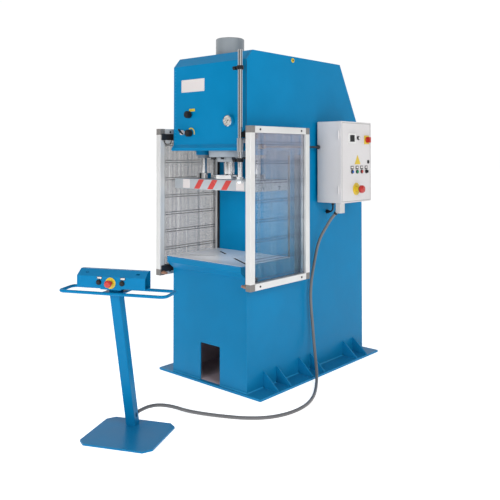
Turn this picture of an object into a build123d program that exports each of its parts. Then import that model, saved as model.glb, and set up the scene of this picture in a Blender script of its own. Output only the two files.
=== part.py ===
from build123d import *
import math
import os

os.makedirs("parts", exist_ok=True)

# Hydraulic C-frame press with a separate two-hand control stand.
# Millimetres. X to the right seen from the front, Y to the back, Z up.
# The origin is on the floor at the centre of the press base plate.

# Base plate and gussets
base_width = 990.0
base_depth = 1460.0
base_thick = 15.0
gusset_height = 110.0
gusset_reach = 128.0
gusset_thick = 10.0
gusset_corner_cut = 14.0
gusset_nose = 8.0
gusset_pair_places = (-470.5, -77.0, 493.5)
gusset_pair_pitch = 140.0

# C-frame side plates
body_width = 722.0
cheek_thick = 22.0
body_front = -710.0
body_back = 705.0
table_front = -770.0
table_top = 860.0
table_nose_bottom = 815.0
table_nose_root = 765.0
throat_back = -245.0
throat_radius = 30.0
head_bottom = 1620.0
head_lip_front = -732.0
head_lip_height = 20.0
head_plate_thick = 45.0
head_front_top = 2233.0
head_top = 2300.0
head_chamfer_back = -651.0
head_top_back = 390.0
slope_bottom = 1716.0
lifting_hole = 28.0
lifting_hole_y = -215.0
lifting_hole_drop = 28.0

# Plates between the side plates
panel_thick = 8.0
throat_plate_thick = 15.0
cover_thick = 5.0
cover_gap = 0.3
rear_cover_thick = 3.0
rear_cover_margin = 12.0
rear_cover_corner = 12.0
louvre_width = 150.0
louvre_height = 14.0
louvre_proud = 8.0
louvre_sheet = 1.6
louvre_frame = 6.4
louvre_pitch = 26.0
louvre_count = 9
louvre_inset = 180.0
louvre_column = 145.0
rear_screw_head = 14.0
rear_screw_height = 2.5
rear_screw_rows = 6
rear_screw_inset = 30.0
chute_left = -78.0
chute_right = 112.0
chute_height = 260.0
chute_radius = 8.0

# Table plate with crossed T-slots and a centre plug
table_ledge = 10.0
table_thick = 40.0
slot_mouth = 18.0
slot_mouth_depth = 20.0
slot_head = 32.0
slot_head_depth = 13.0
slot_angle = 30.0
slot_outer_long = 385.0
slot_outer_short = 265.0
slot_inner = 99.0
slot_end_step = 2.0
table_edge_break = 2.0
plug_diameter = 160.0
plug_flange = 12.0
plug_core = 110.0
plug_clearance = 0.4
plug_grip_hole = 12.0

# Cylinder, ram and guide columns
press_axis_y = -490.0
barrel_diameter = 206.0
barrel_bore = 160.0
barrel_top = 2430.0
barrel_cap = 45.0
barrel_edge = 6.0
port_boss = 44.0
port_stand_off = 12.0
flange_diameter = 305.0
flange_thick = 45.0
gland_diameter = 197.0
gland_thick = 35.0
ram_diameter = 88.0
ram_passage = 120.0
ram_foot_diameter = 240.0
ram_foot_thick = 33.0
ram_foot_edge = 3.0
piston_thick = 60.0
piston_top_gap = 25.0
stroke = 400.0
running_gap = 0.05
piston_gap = 0.3
fit_gap = 0.3
column_diameter = 41.0
column_spacing = 538.0
column_foot_diameter = 108.0
column_foot_height = 38.0
column_foot_taper = 2.0
column_reserve = 117.0
housing_diameter = 120.0
housing_thick = 30.0
bush_flange_diameter = 100.0
bush_flange_thick = 23.0
bush_diameter = 56.0
bush_rise = 100.0
bolt_diameter = 16.0
bolt_head = 24.0
bolt_head_height = 16.0
bolt_socket = 0.56
bolt_end_gap = 5.0
bolt_circle = 254.0
bolt_count = 10

# Platen
platen_width = 803.0
platen_front = -660.0
platen_back = -322.0
platen_bottom = 1344.0
platen_thick = 73.0
platen_edge = 2.0
platen_slots = (-586.0, -420.0)

# Trip rod on the right front corner
trip_x = 342.0
trip_y = -756.0
trip_diameter = 30.0
trip_reserve = 188.0
trip_neck = 15.0
trip_bracket_width = 62.0
trip_bracket_thick = 14.0
trip_bracket_back = -570.0
trip_nut_diameter = 46.0
trip_nut_height = 14.0
trip_nut_dome = 18.0
sleeve_diameter = 43.0
sleeve_bottom = 1612.0
sleeve_top = 1702.0
sleeve_block_width = 35.0
sleeve_block_height = 32.0
collar_diameter = 46.0
collar_height = 26.0
collar_rest_gap = 42.0
collar_switch_gap = 2.0
collar_knob_diameter = 26.0
collar_knob_length = 22.0
collar_stud = 8.0
collar_stud_length = 14.0
switch_width = 24.0
switch_depth = 25.0
switch_bottom = 1708.0
switch_height = 38.0
switch_overhang = 3.0
switch_corner = 2.5
switch_plunger = 10.0
switch_plunger_height = 9.0
switch_plunger_inset = 8.0

# Controls on the head
gauge_x = 211.0
gauge_z = 1822.0
gauge_diameter = 76.0
gauge_depth = 30.0
gauge_stand_off = 6.0
gauge_wall = 3.0
gauge_rim = 3.5
gauge_dish = 10.0
gauge_spindle = 3.0
gauge_spindle_length = 4.0
needle_hub = 8.0
needle_hole = 3.2
needle_length = 26.0
needle_tail = 9.0
needle_half_width = 1.6
needle_tip_half_width = 0.5
needle_thick = 1.2
needle_height = 8.0
needle_zero = 135.0
pressure_knob_x = -186.0
pressure_knob_z = 1879.0
flow_knob_x = -178.0
flow_knob_z = 1746.0
head_knob_diameter = 50.0
head_knob_length = 30.0
head_knob_stem = 16.0
head_knob_stand_off = 10.0
head_knob_flutes = 16
head_knob_flute = 6.4
head_knob_flute_out = 1.5
head_knob_face_inset = 7.0
head_knob_face_height = 4.0
head_knob_face_taper = 20.0
stem_behind_cover = 24.0

# Side guards of 45 mm profile with clear ribbed panels
profile = 45.0
guard_outer = 464.0
guard_front = -790.0
guard_back = -150.0
guard_bottom = 709.0
guard_top = 1782.0
profile_radius = 3.0
profile_slot = 8.0
profile_lip = 4.0
profile_cavity = 20.0
profile_cavity_depth = 7.0
profile_wall = 2.5
profile_core_depth = 24.0
profile_core_corner = 2.0
profile_chamber_width = 6.0
profile_chamber_depth = 12.0
panel_sheet = 6.4
panel_skin = 0.8
panel_cell_pitch = 12.5
panel_web = 1.2
panel_bite = 9.0
panel_notch = 10.0
line_gap = 17.0
line_pitch = 128.5
first_line = 1541.0
line_count = 7
line_height = 3.0
line_proud = 1.5
line_end_gap = 1.0
hinge_levels = (800.0, 1160.0, 1520.0)
hinge_leaf = 4.0
hinge_leaf_height = 60.0
hinge_leaf_inset = 11.0
hinge_leaf_shift = 1.0
hinge_knuckle = 28.0
hinge_barrel = 7.0
hinge_pin = 6.0
hinge_pin_gap = 0.1
hinge_pin_end = 2.0
hinge_gap = 1.0
hinge_offset_x = 4.0
hinge_offset_y = 8.0
strip_gap = 7.0
strip_depth = 50.0
strip_wall = 4.0
strip_corner = 2.0
strip_leaf_inset = 14.0
strip_top = 1590.0
strip_bottom = 716.0
stop_thick = 10.0
stop_height = 46.0
stop_levels = (758.0, 1722.0)
stop_back = -665.0
stop_front = -780.0
stop_gap = 0.5

# Hand lever behind the right guard
lever_y = -569.0
lever_z = 1648.0
lever_rod = 14.0
lever_ball = 31.0
lever_ball_x = 410.0
lever_ball_y = 29.0
lever_block_length = 60.0
lever_block_height = 30.0
lever_block_reach = 18.0
lever_block_corner = 4.0
lever_hub = 26.0
lever_hub_width = 16.0
lever_hub_gap = 0.5
lever_pin = 8.0
lever_pin_head = 16.0
lever_pin_head_thick = 4.0

# Control cabinet on the right side plate
cabinet_front = 55.0
cabinet_length = 408.0
cabinet_bottom = 1237.0
cabinet_height = 600.0
cabinet_stand_off = 24.0
cabinet_depth = 190.0
cabinet_wall = 2.0
cabinet_corner = 3.0
cabinet_foot = 30.0
cabinet_foot_inset = 45.0
door_gap = 1.0
door_thick = 20.0
door_hinge_inset = 100.0
door_barrel = 5.0
door_barrel_offset = 6.0
door_leaf = 3.0
door_leaf_reach = 18.0
door_knuckle = 22.0
door_hinge_height = 60.0
button_row_rise = 228.0
lamp_place = -61.0
green_button_place = 7.0
red_button_place = 70.0
selector_place = 134.0
button_diameter = 22.0
button_reach = 12.0
button_edge = 1.2
bezel_diameter = 30.0
bezel_height = 7.0
button_gap = 0.4
button_proud = 4.0
selector_collar = 2.0
selector_grip_width = 7.0
selector_grip_height = 12.0
meter_place = -64.5
meter_drop = 124.0
meter_width = 91.0
meter_height = 73.0
meter_proud = 8.0
meter_corner = 4.0
meter_rim = 8.0
meter_recess = 2.0
main_switch_inset = 63.0
main_switch_drop = 132.0
main_plate = 66.0
main_plate_corner = 3.0
main_plate_thick = 5.0
main_dial = 46.0
main_dial_thick = 12.0
main_grip_width = 12.0
main_grip_height = 20.0
grip_end_gap = 2.0
key_place = 22.0
key_drop = 120.0
lock_inset = 41.0
lock_diameter = 28.0
lock_reach = 14.0
lock_face = 4.0
lock_slot_length = 14.0
lock_slot_width = 4.0
stop_button_place = -5.0
stop_button_rise = 99.0
stop_disc = 92.0
stop_disc_thick = 3.0
stop_collar = 42.0
stop_collar_height = 32.0
stop_mushroom = 58.0
stop_mushroom_height = 26.0
stop_travel = 6.0
stop_under_gap = 1.0
mushroom_rounding = 0.55

# Contactors, breakers and terminals inside the cabinet
gear_margin = 25.0
gear_plate_thick = 4.0
gear_rail_margin = 40.0
gear_rail_height = 35.0
gear_rail_thick = 7.0
gear_block_gap = 4.0
gear_rows = ((0.783, 5, 50.0, 90.0, 75.0), (0.5, 7, 36.0, 80.0, 60.0), (0.217, 16, 14.0, 50.0, 40.0))

# Cable outlet and gland under the cabinet
outlet_x = 568.0
outlet_y = 82.0
outlet_length = 56.0
outlet_width = 44.0
outlet_height = 72.0
outlet_corner = 4.0
outlet_bottom_edge = 3.0
outlet_wire_wall = 6.0
gland_diameter_small = 27.0
gland_nut = 34.0
gland_nut_start = 8.0
gland_nut_length = 14.0
gland_reach = 22.0
gland_length = 18.0

# Two-hand control stand. Its own frame is turned about Z.
stand_x = 165.0
stand_y = -1499.0
stand_turn = 25.37
stand_plate_width = 440.0
stand_plate_front = -328.0
stand_plate_back = 64.0
stand_plate_shift = 36.0
stand_plate_thick = 10.0
stand_plate_clip = 42.0
post_width = 60.0
post_wall = 4.0
post_corner = 6.0
post_inner_corner = 3.0
post_solid_foot = 40.0
post_slot_rise = 72.0
post_slot_length = 30.0
post_slot_width = 14.0
post_lean = 204.0
post_lean_height = 791.0
console_bottom = 857.0
console_half = 208.0
console_front = -285.0
console_back = -213.0
console_crease = 920.0
console_top = 953.0
console_ridge = -240.0
console_wall = 2.5
console_bay = 66.0
console_foot_thick = 8.0
console_foot_half = 62.0
console_slots = (-156.0, 156.0)
console_slot_length = 22.0
console_slot_width = 10.0
rail_half = 325.0
rail_front = -283.0
rail_back = -122.0
rail_z = 826.0
rail_diameter = 18.0
rail_corner = 34.0
console_stop_z = 886.0
console_button_side = 71.0
console_button_z = 888.0
console_hole_depth = 20.0
console_button_reach = 12.0
console_stop_reach = 10.0
console_stop_stand = 20.0
console_mushroom = 40.0
console_mushroom_height = 16.0
palm_diameter = 44.0
palm_height = 14.0
palm_reach = 10.0
palm_stand = 8.0
palm_z = 902.0
palm_travel = 5.0

# Hydraulic power unit inside the body
tank_width = 520.0
tank_front = -100.0
tank_back = 480.0
tank_height = 440.0
tank_wall = 4.0
tank_corner = 12.0
motor_y = 260.0
motor_diameter = 230.0
motor_length = 330.0
motor_flange = 280.0
motor_flange_thick = 16.0
motor_fins = 24
motor_fin_height = 10.0
motor_fin_thick = 4.0
motor_hood_length = 60.0
motor_hood_taper = 10.0
motor_box_width = 110.0
motor_box_reach = 35.0
motor_box_height = 100.0
motor_box_rise = 120.0
motor_box_corner = 6.0
pump_diameter = 110.0
pump_length = 170.0
strainer_width = 80.0
strainer_depth = 100.0
strainer_height = 90.0
strainer_corner = 8.0
block_y = -10.0
block_x = 120.0
block_width = 120.0
block_depth = 100.0
block_height = 150.0
valve_size = 46.0
valve_corner = 4.0
valve_length = 70.0
valve_rises = (45.0, 105.0)
pipe_diameter = 22.0
pipe_bend = 60.0
pipe_wall_y = -170.0
pipe_spread = 30.0
pipe_rise = 200.0
pipe_lean = 220.0
pipe_turn_drop = 160.0
pipe_clear = 20.0
pipe_ways = ((-1, -30.0), (1, 22.0))
upper_port = 2180.0
lower_port = 1760.0

# Flexible conduit from the cabinet to the stand
conduit_diameter = 21.0
bend_share = 0.45
conduit_route = [
    (533.0, 82.0, 1166.0),
    (502.0, 62.0, 1124.0),
    (468.0, 42.0, 1056.0),
    (434.0, 20.0, 986.0),
    (412.0, 8.0, 906.0),
    (402.0, -8.0, 812.0),
    (397.0, -36.0, 702.0),
    (396.0, -53.0, 580.0),
    (397.0, -45.0, 462.0),
    (400.0, -32.0, 350.0),
    (412.0, -36.0, 248.0),
    (438.0, -56.0, 158.0),
    (478.0, -96.0, 88.0),
    (530.0, -160.0, 42.0),
    (585.0, -240.0, 14.0),
    (640.0, -326.0, 10.6),
    (691.0, -412.0, 10.6),
    (733.0, -502.0, 10.6),
    (763.0, -604.0, 10.6),
    (769.0, -714.0, 10.6),
    (748.0, -828.0, 10.6),
    (692.0, -930.0, 10.6),
    (600.0, -1012.0, 10.6),
    (490.0, -1072.0, 10.6),
    (374.0, -1124.0, 10.6),
    (268.0, -1164.0, 13.0),
    (188.0, -1206.0, 32.0),
    (148.0, -1276.0, 52.0),
    (136.0, -1346.0, 61.0),
    (142.0, -1414.0, 62.0),
    (158.0, -1472.0, 62.0),
]

half_width = body_width / 2
inner_half = half_width - cheek_thick
table_bed = table_top - table_ledge
table_bottom = table_top - table_thick
head_plate_top = head_bottom + head_plate_thick
head_plate_back = throat_back + throat_plate_thick
platen_top = platen_bottom + platen_thick
column_x = column_spacing / 2
bush_bottom = head_bottom - housing_thick
column_length = bush_bottom + bush_rise - platen_top + stroke + column_reserve
trip_top = sleeve_top + stroke + trip_reserve
switch_top = switch_bottom + switch_height + switch_plunger_height
collar_levels = (
    sleeve_bottom - collar_rest_gap - collar_height / 2,
    switch_top + collar_switch_gap + stroke + collar_height / 2,
)
cabinet_back_x = half_width + cabinet_stand_off
cabinet_face_x = cabinet_back_x + cabinet_depth
door_back_x = cabinet_face_x + door_gap
door_face_x = door_back_x + door_thick
cabinet_back = cabinet_front + cabinet_length
cabinet_top = cabinet_bottom + cabinet_height
cabinet_middle_y = (cabinet_front + cabinet_back) / 2
cabinet_middle_z = (cabinet_bottom + cabinet_top) / 2
door_hinge_levels = (cabinet_bottom + door_hinge_inset, cabinet_top - door_hinge_inset)
button_row = cabinet_bottom + button_row_rise
lamp_y = cabinet_middle_y + lamp_place
green_button_y = cabinet_middle_y + green_button_place
red_button_y = cabinet_middle_y + red_button_place
selector_y = cabinet_middle_y + selector_place
meter_y = cabinet_middle_y + meter_place
meter_z = cabinet_top - meter_drop
main_switch_y = cabinet_back - main_switch_inset
main_switch_z = cabinet_top - main_switch_drop
key_y = cabinet_middle_y + key_place
key_z = cabinet_top - key_drop
lock_y = cabinet_back - lock_inset
lock_z = cabinet_middle_z
stop_button_y = cabinet_middle_y + stop_button_place
stop_button_z = cabinet_bottom + stop_button_rise
guard_mid = guard_outer - profile / 2
guard_inner = guard_outer - profile


def level(z):
    """Horizontal plane at this height."""
    return Plane.XY.offset(z)


def facing_front(y):
    """Upright plane at this y whose normal points to the operator; local x is X, local y is Z."""
    return Plane.XZ.offset(-y)


def facing_side(x):
    """Upright plane at this x whose normal points to +X; local x is Y, local y is Z."""
    return Plane.YZ.offset(x)


def parallel(points, distance):
    """Points of the open line that runs beside the given one, to its right for a plus distance."""
    moved = []
    for start, end in zip(points, points[1:]):
        dx = end[0] - start[0]
        dy = end[1] - start[1]
        length = math.hypot(dx, dy)
        side = (dy / length * distance, -dx / length * distance)
        moved.append(((start[0] + side[0], start[1] + side[1]), (dx / length, dy / length)))
    result = [moved[0][0]]
    for (p, u), (q, v) in zip(moved, moved[1:]):
        reach = ((q[0] - p[0]) * v[1] - (q[1] - p[1]) * v[0]) / (u[0] * v[1] - u[1] * v[0])
        result.append((p[0] + u[0] * reach, p[1] + u[1] * reach))
    last = points[-1]
    u = moved[-1][1]
    result.append((last[0] + u[1] * distance, last[1] - u[0] * distance))
    return result


def band(points, thickness):
    """Closed outline of a folded sheet: the given face and the face a thickness to its right."""
    return points + parallel(points, thickness)[::-1]


def save(piece, name):
    piece.part.label = name
    export_step(piece.part, f"parts/{name}.step")


# Base plate with the triangular gussets that brace the side plates
with BuildPart() as base_plate:
    with BuildSketch(level(0)):
        Rectangle(base_width, base_depth)
    extrude(amount=base_thick)
    chamfer(base_plate.edges().filter_by(Axis.Z), length=4)
    for side in (-1, 1):
        for pair in gusset_pair_places:
            for place in (-gusset_pair_pitch / 2, gusset_pair_pitch / 2):
                with BuildSketch(facing_front(pair + place + gusset_thick / 2)):
                    with BuildLine():
                        Polyline(
                            (side * (half_width + gusset_corner_cut), base_thick),
                            (side * (half_width + gusset_reach), base_thick),
                            (side * (half_width + gusset_reach), base_thick + gusset_nose),
                            (side * (half_width + gusset_nose), base_thick + gusset_height),
                            (side * half_width, base_thick + gusset_height),
                            (side * half_width, base_thick + gusset_corner_cut),
                            close=True,
                        )
                    make_face()
                extrude(amount=gusset_thick)
save(base_plate, "base_plate")


def side_plate(side):
    """C-shaped side plate from the base to the head, in one piece."""
    with BuildPart() as cheek:
        with BuildSketch(facing_side(min(side * half_width, side * inner_half))) as outline:
            with BuildLine():
                Polyline(
                    (body_front, base_thick),
                    (body_front, table_nose_root),
                    (table_front, table_nose_bottom),
                    (table_front, table_bed),
                    (throat_back, table_bed),
                    (throat_back, head_bottom),
                    (head_lip_front, head_bottom),
                    (head_lip_front, head_bottom + head_lip_height),
                    (body_front, head_plate_top),
                    (body_front, head_front_top),
                    (head_chamfer_back, head_top),
                    (head_top_back, head_top),
                    (body_back, slope_bottom),
                    (body_back, base_thick),
                    close=True,
                )
            make_face()
            corner = outline.vertices().sort_by_distance((throat_back, head_bottom, 0))[0]
            fillet(corner, radius=throat_radius)
            with Locations((lifting_hole_y, head_top - lifting_hole_drop)):
                Circle(lifting_hole / 2, mode=Mode.SUBTRACT)
        extrude(amount=cheek_thick)
    return cheek


save(side_plate(-1), "left_side_plate")
save(side_plate(1), "right_side_plate")


# Front panel with the drop opening, folded out under the table front
with BuildPart() as front_panel:
    panel_line = [
        (body_front, base_thick),
        (body_front, table_nose_root),
        (table_front, table_nose_bottom),
        (table_front, table_bed),
    ]
    with BuildSketch(facing_side(-inner_half)):
        with BuildLine():
            Polyline(*band(panel_line, panel_thick), close=True)
        make_face()
    extrude(amount=2 * inner_half)
    with BuildSketch(facing_front(body_front)) as opening:
        with Locations(((chute_left + chute_right) / 2, base_thick)):
            Rectangle(chute_right - chute_left, chute_height, align=(Align.CENTER, Align.MIN))
        fillet(opening.vertices().group_by(Axis.Y)[-1], radius=chute_radius)
    extrude(amount=-2 * panel_thick, mode=Mode.SUBTRACT)
save(front_panel, "front_panel")


# Plate that closes the back of the throat
with BuildPart() as throat_back_plate:
    with BuildSketch(facing_side(-inner_half)):
        with Locations((throat_back, table_bottom)):
            Rectangle(throat_plate_thick, head_bottom - table_bottom, align=(Align.MIN, Align.MIN))
    extrude(amount=2 * inner_half)
save(throat_back_plate, "throat_back_plate")


# Thick plate across the underside of the head, with the welded guide housings
with BuildPart() as head_bottom_plate:
    with BuildSketch(facing_side(-inner_half)):
        with BuildLine():
            Polyline(
                (head_lip_front, head_bottom),
                (head_lip_front, head_bottom + head_lip_height),
                (body_front, head_plate_top),
                (head_plate_back, head_plate_top),
                (head_plate_back, head_bottom),
                close=True,
            )
        make_face()
    extrude(amount=2 * inner_half)
    with BuildSketch(level(head_bottom)):
        with Locations((-column_x, press_axis_y), (column_x, press_axis_y)):
            Circle(housing_diameter / 2)
    extrude(amount=-housing_thick)
    with BuildSketch(level(head_plate_top)):
        with Locations((0, press_axis_y)):
            Circle(ram_passage / 2)
        with Locations((-column_x, press_axis_y), (column_x, press_axis_y)):
            Circle(bush_diameter / 2 + fit_gap)
        with Locations((0, press_axis_y)):
            with PolarLocations(bolt_circle / 2, bolt_count):
                Circle(bolt_diameter / 2 + fit_gap)
    extrude(amount=-head_plate_thick - housing_thick, mode=Mode.SUBTRACT)
save(head_bottom_plate, "head_bottom_plate")


# Folded cover over the head: front, top and rear slope, between the side plates
with BuildPart() as head_cover:
    cover_line = [
        (body_front, head_plate_top),
        (body_front, head_front_top),
        (head_chamfer_back, head_top),
        (head_top_back, head_top),
        (body_back, slope_bottom),
    ]
    cover_half = inner_half - cover_gap
    with BuildSketch(facing_side(-cover_half)):
        with BuildLine():
            Polyline(*band(cover_line, cover_thick), close=True)
        make_face()
    extrude(amount=2 * cover_half)
    with BuildSketch(level(head_top)):
        with Locations((0, press_axis_y)):
            Circle(barrel_diameter / 2 + fit_gap)
    extrude(amount=-2 * cover_thick, mode=Mode.SUBTRACT)
    with BuildSketch(facing_front(body_front)):
        with Locations((gauge_x, gauge_z), (pressure_knob_x, pressure_knob_z), (flow_knob_x, flow_knob_z)):
            Circle(head_knob_stem / 2 + fit_gap)
    extrude(amount=-2 * cover_thick, mode=Mode.SUBTRACT)
save(head_cover, "head_cover")


# Screwed service cover on the back, with banks of pressed air louvres
with BuildPart() as rear_cover:
    cover_low = base_thick + rear_cover_margin
    cover_high = slope_bottom - rear_cover_margin
    cover_side = half_width - rear_cover_margin
    cover_face = body_back + rear_cover_thick
    bank_height = louvre_pitch * (louvre_count - 1)
    banks = (cover_low + louvre_inset, cover_high - louvre_inset - bank_height)
    with BuildSketch(facing_front(cover_face)):
        with Locations((0, (cover_low + cover_high) / 2)):
            RectangleRounded(2 * cover_side, cover_high - cover_low, rear_cover_corner)
        for bank in banks:
            with Locations((0, bank + bank_height / 2 + louvre_height / 2)):
                with GridLocations(2 * louvre_column, louvre_pitch, 2, louvre_count):
                    Rectangle(louvre_width - louvre_frame, louvre_height - louvre_frame, mode=Mode.SUBTRACT)
    extrude(amount=rear_cover_thick)
    hood = (
        (0, louvre_height),
        (louvre_proud, 0),
        (louvre_proud - louvre_sheet, 0),
        (0, louvre_height - 2 * louvre_sheet),
    )
    cheek = ((0, louvre_height), (louvre_proud, 0), (0, 0))
    for column in (-louvre_column, louvre_column):
        left = column - louvre_width / 2
        for start, width, outline in (
            (left, louvre_width, hood),
            (left, louvre_sheet, cheek),
            (left + louvre_width - louvre_sheet, louvre_sheet, cheek),
        ):
            with BuildSketch(facing_side(start)):
                for bank in banks:
                    for row in range(louvre_count):
                        with Locations((cover_face, bank + row * louvre_pitch)):
                            Polygon(*outline, align=None)
            extrude(amount=width)
    with BuildSketch(facing_front(cover_face)):
        with Locations((0, (cover_low + cover_high) / 2)):
            screw_pitch = (cover_high - cover_low - 2 * rear_screw_inset) / (rear_screw_rows - 1)
            with GridLocations(2 * inner_half + cheek_thick, screw_pitch, 2, rear_screw_rows):
                Circle(rear_screw_head / 2)
    extrude(amount=-rear_screw_height)
save(rear_cover, "rear_cover")


# Ground table plate with crossed T-slots and the bore for the plug
with BuildPart() as table_plate:
    with BuildSketch(facing_front(throat_back)):
        with BuildLine():
            Polyline(
                (-half_width, table_top),
                (-half_width, table_bed),
                (-inner_half, table_bed),
                (-inner_half, table_bottom),
                (inner_half, table_bottom),
                (inner_half, table_bed),
                (half_width, table_bed),
                (half_width, table_top),
                close=True,
            )
        make_face()
    extrude(amount=throat_back - table_front - panel_thick)
    with BuildSketch(facing_front(table_front + panel_thick)):
        with Locations((0, table_top - table_ledge / 2)):
            Rectangle(2 * half_width, table_ledge)
    extrude(amount=panel_thick)
    front_edges = table_plate.edges().group_by(Axis.Y)[0].filter_by(Axis.X)
    chamfer(front_edges.group_by(Axis.Z)[-1], length=table_edge_break)
    with BuildSketch(level(table_top)):
        with Locations((0, press_axis_y)):
            Circle(plug_diameter / 2 + plug_clearance)
    extrude(amount=-plug_flange, mode=Mode.SUBTRACT)
    with BuildSketch(level(table_top)):
        with Locations((0, press_axis_y)):
            Circle(plug_core / 2 + plug_clearance)
    extrude(amount=-table_thick, mode=Mode.SUBTRACT)
    for width, step, top, depth in (
        (slot_mouth, slot_end_step, table_top, slot_mouth_depth),
        (slot_head, 0, table_top - slot_mouth_depth, slot_head_depth),
    ):
        with BuildSketch(level(top)):
            for angle, reach in (
                (-slot_angle, slot_outer_long),
                (180 + slot_angle, slot_outer_long),
                (slot_angle, slot_outer_short),
                (180 - slot_angle, slot_outer_short),
            ):
                middle = (reach + slot_inner) / 2
                place = Location(
                    (
                        middle * math.cos(math.radians(angle)),
                        press_axis_y + middle * math.sin(math.radians(angle)),
                    ),
                    angle,
                )
                with Locations(place):
                    SlotOverall(reach - slot_inner - 2 * step, width)
        extrude(amount=-depth, mode=Mode.SUBTRACT)
save(table_plate, "table_plate")


# Removable plug in the middle of the table
with BuildPart() as table_plug:
    with BuildSketch(level(table_top)):
        with Locations((0, press_axis_y)):
            Circle(plug_diameter / 2)
    extrude(amount=-plug_flange)
    with BuildSketch(level(table_top)):
        with Locations((0, press_axis_y)):
            Circle(plug_core / 2)
    extrude(amount=-table_thick)
    with BuildSketch(level(table_top)):
        with Locations((-plug_core / 4, press_axis_y), (plug_core / 4, press_axis_y)):
            Circle(plug_grip_hole / 2)
    extrude(amount=-plug_flange, mode=Mode.SUBTRACT)
    rim = table_plug.edges().filter_by(GeomType.CIRCLE).group_by(Axis.Z)[-1].sort_by(SortBy.RADIUS)[-1]
    chamfer(rim, length=table_edge_break / 2)
save(table_plug, "table_plug")


# Cylinder barrel, closed at the top, with two pipe bosses at the rear
port_y = press_axis_y + barrel_diameter / 2 + port_stand_off
with BuildPart() as cylinder_barrel:
    with BuildSketch(level(head_plate_top)):
        with Locations((0, press_axis_y)):
            Circle(barrel_diameter / 2)
    extrude(amount=barrel_top - head_plate_top)
    chamfer(cylinder_barrel.edges().group_by(Axis.Z)[-1], length=barrel_edge)
    with BuildSketch(facing_front(port_y)):
        with Locations((0, upper_port), (0, lower_port)):
            Circle(port_boss / 2)
    extrude(amount=barrel_diameter / 4)
    with BuildSketch(level(head_plate_top)):
        with Locations((0, press_axis_y)):
            Circle(barrel_bore / 2)
    extrude(amount=barrel_top - head_plate_top - barrel_cap, mode=Mode.SUBTRACT)
save(cylinder_barrel, "cylinder_barrel")


def ring(outer, inner, bottom, height, edge):
    """Turned ring on the press axis with broken outer edges."""
    with BuildPart() as turned:
        with BuildSketch(level(bottom)):
            with Locations((0, press_axis_y)):
                Circle(outer / 2)
        extrude(amount=height)
        chamfer(turned.edges(), length=edge)
        with BuildSketch(level(bottom)):
            with Locations((0, press_axis_y)):
                Circle(inner / 2)
        extrude(amount=height, mode=Mode.SUBTRACT)
    return turned


# Stepped cylinder flange under the head: bolted ring above, ram gland below
flange_bottom = head_bottom - flange_thick
gland_bottom = flange_bottom - gland_thick
with BuildPart() as cylinder_flange:
    add(ring(flange_diameter, ram_passage, flange_bottom, flange_thick, 2).part)
    with BuildSketch(level(flange_bottom)):
        with Locations((0, press_axis_y)):
            with PolarLocations(bolt_circle / 2, bolt_count):
                Circle(bolt_diameter / 2 + fit_gap)
    extrude(amount=flange_thick, mode=Mode.SUBTRACT)
    add(ring(gland_diameter, ram_diameter + 2 * running_gap, gland_bottom, gland_thick, 2.5).part)
save(cylinder_flange, "cylinder_flange")


def cap_screw(x, y, seat, length, shank, head, head_height, up):
    """Socket cap screw with its head below or above the seat; up is the way its shank runs."""
    with BuildPart() as screw:
        with BuildSketch(level(seat)):
            with Locations((x, y)):
                Circle(head / 2)
        extrude(amount=-up * head_height)
        with BuildSketch(level(seat - up * head_height)):
            with Locations((x, y)):
                RegularPolygon(head * bolt_socket / 2, 6)
        extrude(amount=up * head_height / 2, mode=Mode.SUBTRACT)
        with BuildSketch(level(seat)):
            with Locations((x, y)):
                Circle(shank / 2)
        extrude(amount=up * length)
    return screw


# Cap screws that hold the cylinder flange to the head
with BuildPart() as flange_bolts:
    for index in range(bolt_count):
        angle = math.radians(360 / bolt_count * index)
        bolt_x = bolt_circle / 2 * math.cos(angle)
        bolt_y = press_axis_y + bolt_circle / 2 * math.sin(angle)
        bolt_length = flange_thick + head_plate_thick - bolt_end_gap
        bolt_sizes = (bolt_length, bolt_diameter, bolt_head, bolt_head_height)
        add(cap_screw(bolt_x, bolt_y, flange_bottom, *bolt_sizes, 1).part)
save(flange_bolts, "flange_bolts")


# Ram with its piston and its bolted foot
ram_length_top = barrel_top - barrel_cap - piston_top_gap
with BuildPart() as ram:
    with BuildSketch(level(platen_top)):
        with Locations((0, press_axis_y)):
            Circle(ram_foot_diameter / 2)
    extrude(amount=ram_foot_thick)
    chamfer(ram.edges().group_by(Axis.Z)[-1], length=ram_foot_edge)
    with BuildSketch(level(platen_top)):
        with Locations((0, press_axis_y)):
            Circle(ram_diameter / 2)
    extrude(amount=ram_length_top - platen_top)
    with BuildSketch(level(ram_length_top)):
        with Locations((0, press_axis_y)):
            Circle(barrel_bore / 2 - piston_gap)
    extrude(amount=-piston_thick)
save(ram, "ram")


# Guide columns, each with a turned foot on the platen
with BuildPart() as guide_columns:
    for side in (-1, 1):
        with BuildSketch(level(platen_top)):
            with Locations((side * column_x, press_axis_y)):
                Circle(column_foot_diameter / 2)
        extrude(amount=column_foot_height, taper=column_foot_taper)
        with BuildSketch(level(platen_top)):
            with Locations((side * column_x, press_axis_y)):
                Circle(column_diameter / 2)
        extrude(amount=column_length)
save(guide_columns, "guide_columns")


# Flanged guide bushes
with BuildPart() as guide_bushes:
    for side in (-1, 1):
        with BuildSketch(level(bush_bottom)):
            with Locations((side * column_x, press_axis_y)):
                Circle(bush_flange_diameter / 2)
        extrude(amount=-bush_flange_thick)
        with BuildSketch(level(bush_bottom)):
            with Locations((side * column_x, press_axis_y)):
                Circle(bush_diameter / 2)
        extrude(amount=bush_rise)
        with BuildSketch(level(bush_bottom - bush_flange_thick)):
            with Locations((side * column_x, press_axis_y)):
                Circle(column_diameter / 2 + running_gap)
        extrude(amount=bush_flange_thick + bush_rise, mode=Mode.SUBTRACT)
save(guide_bushes, "guide_bushes")


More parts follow.
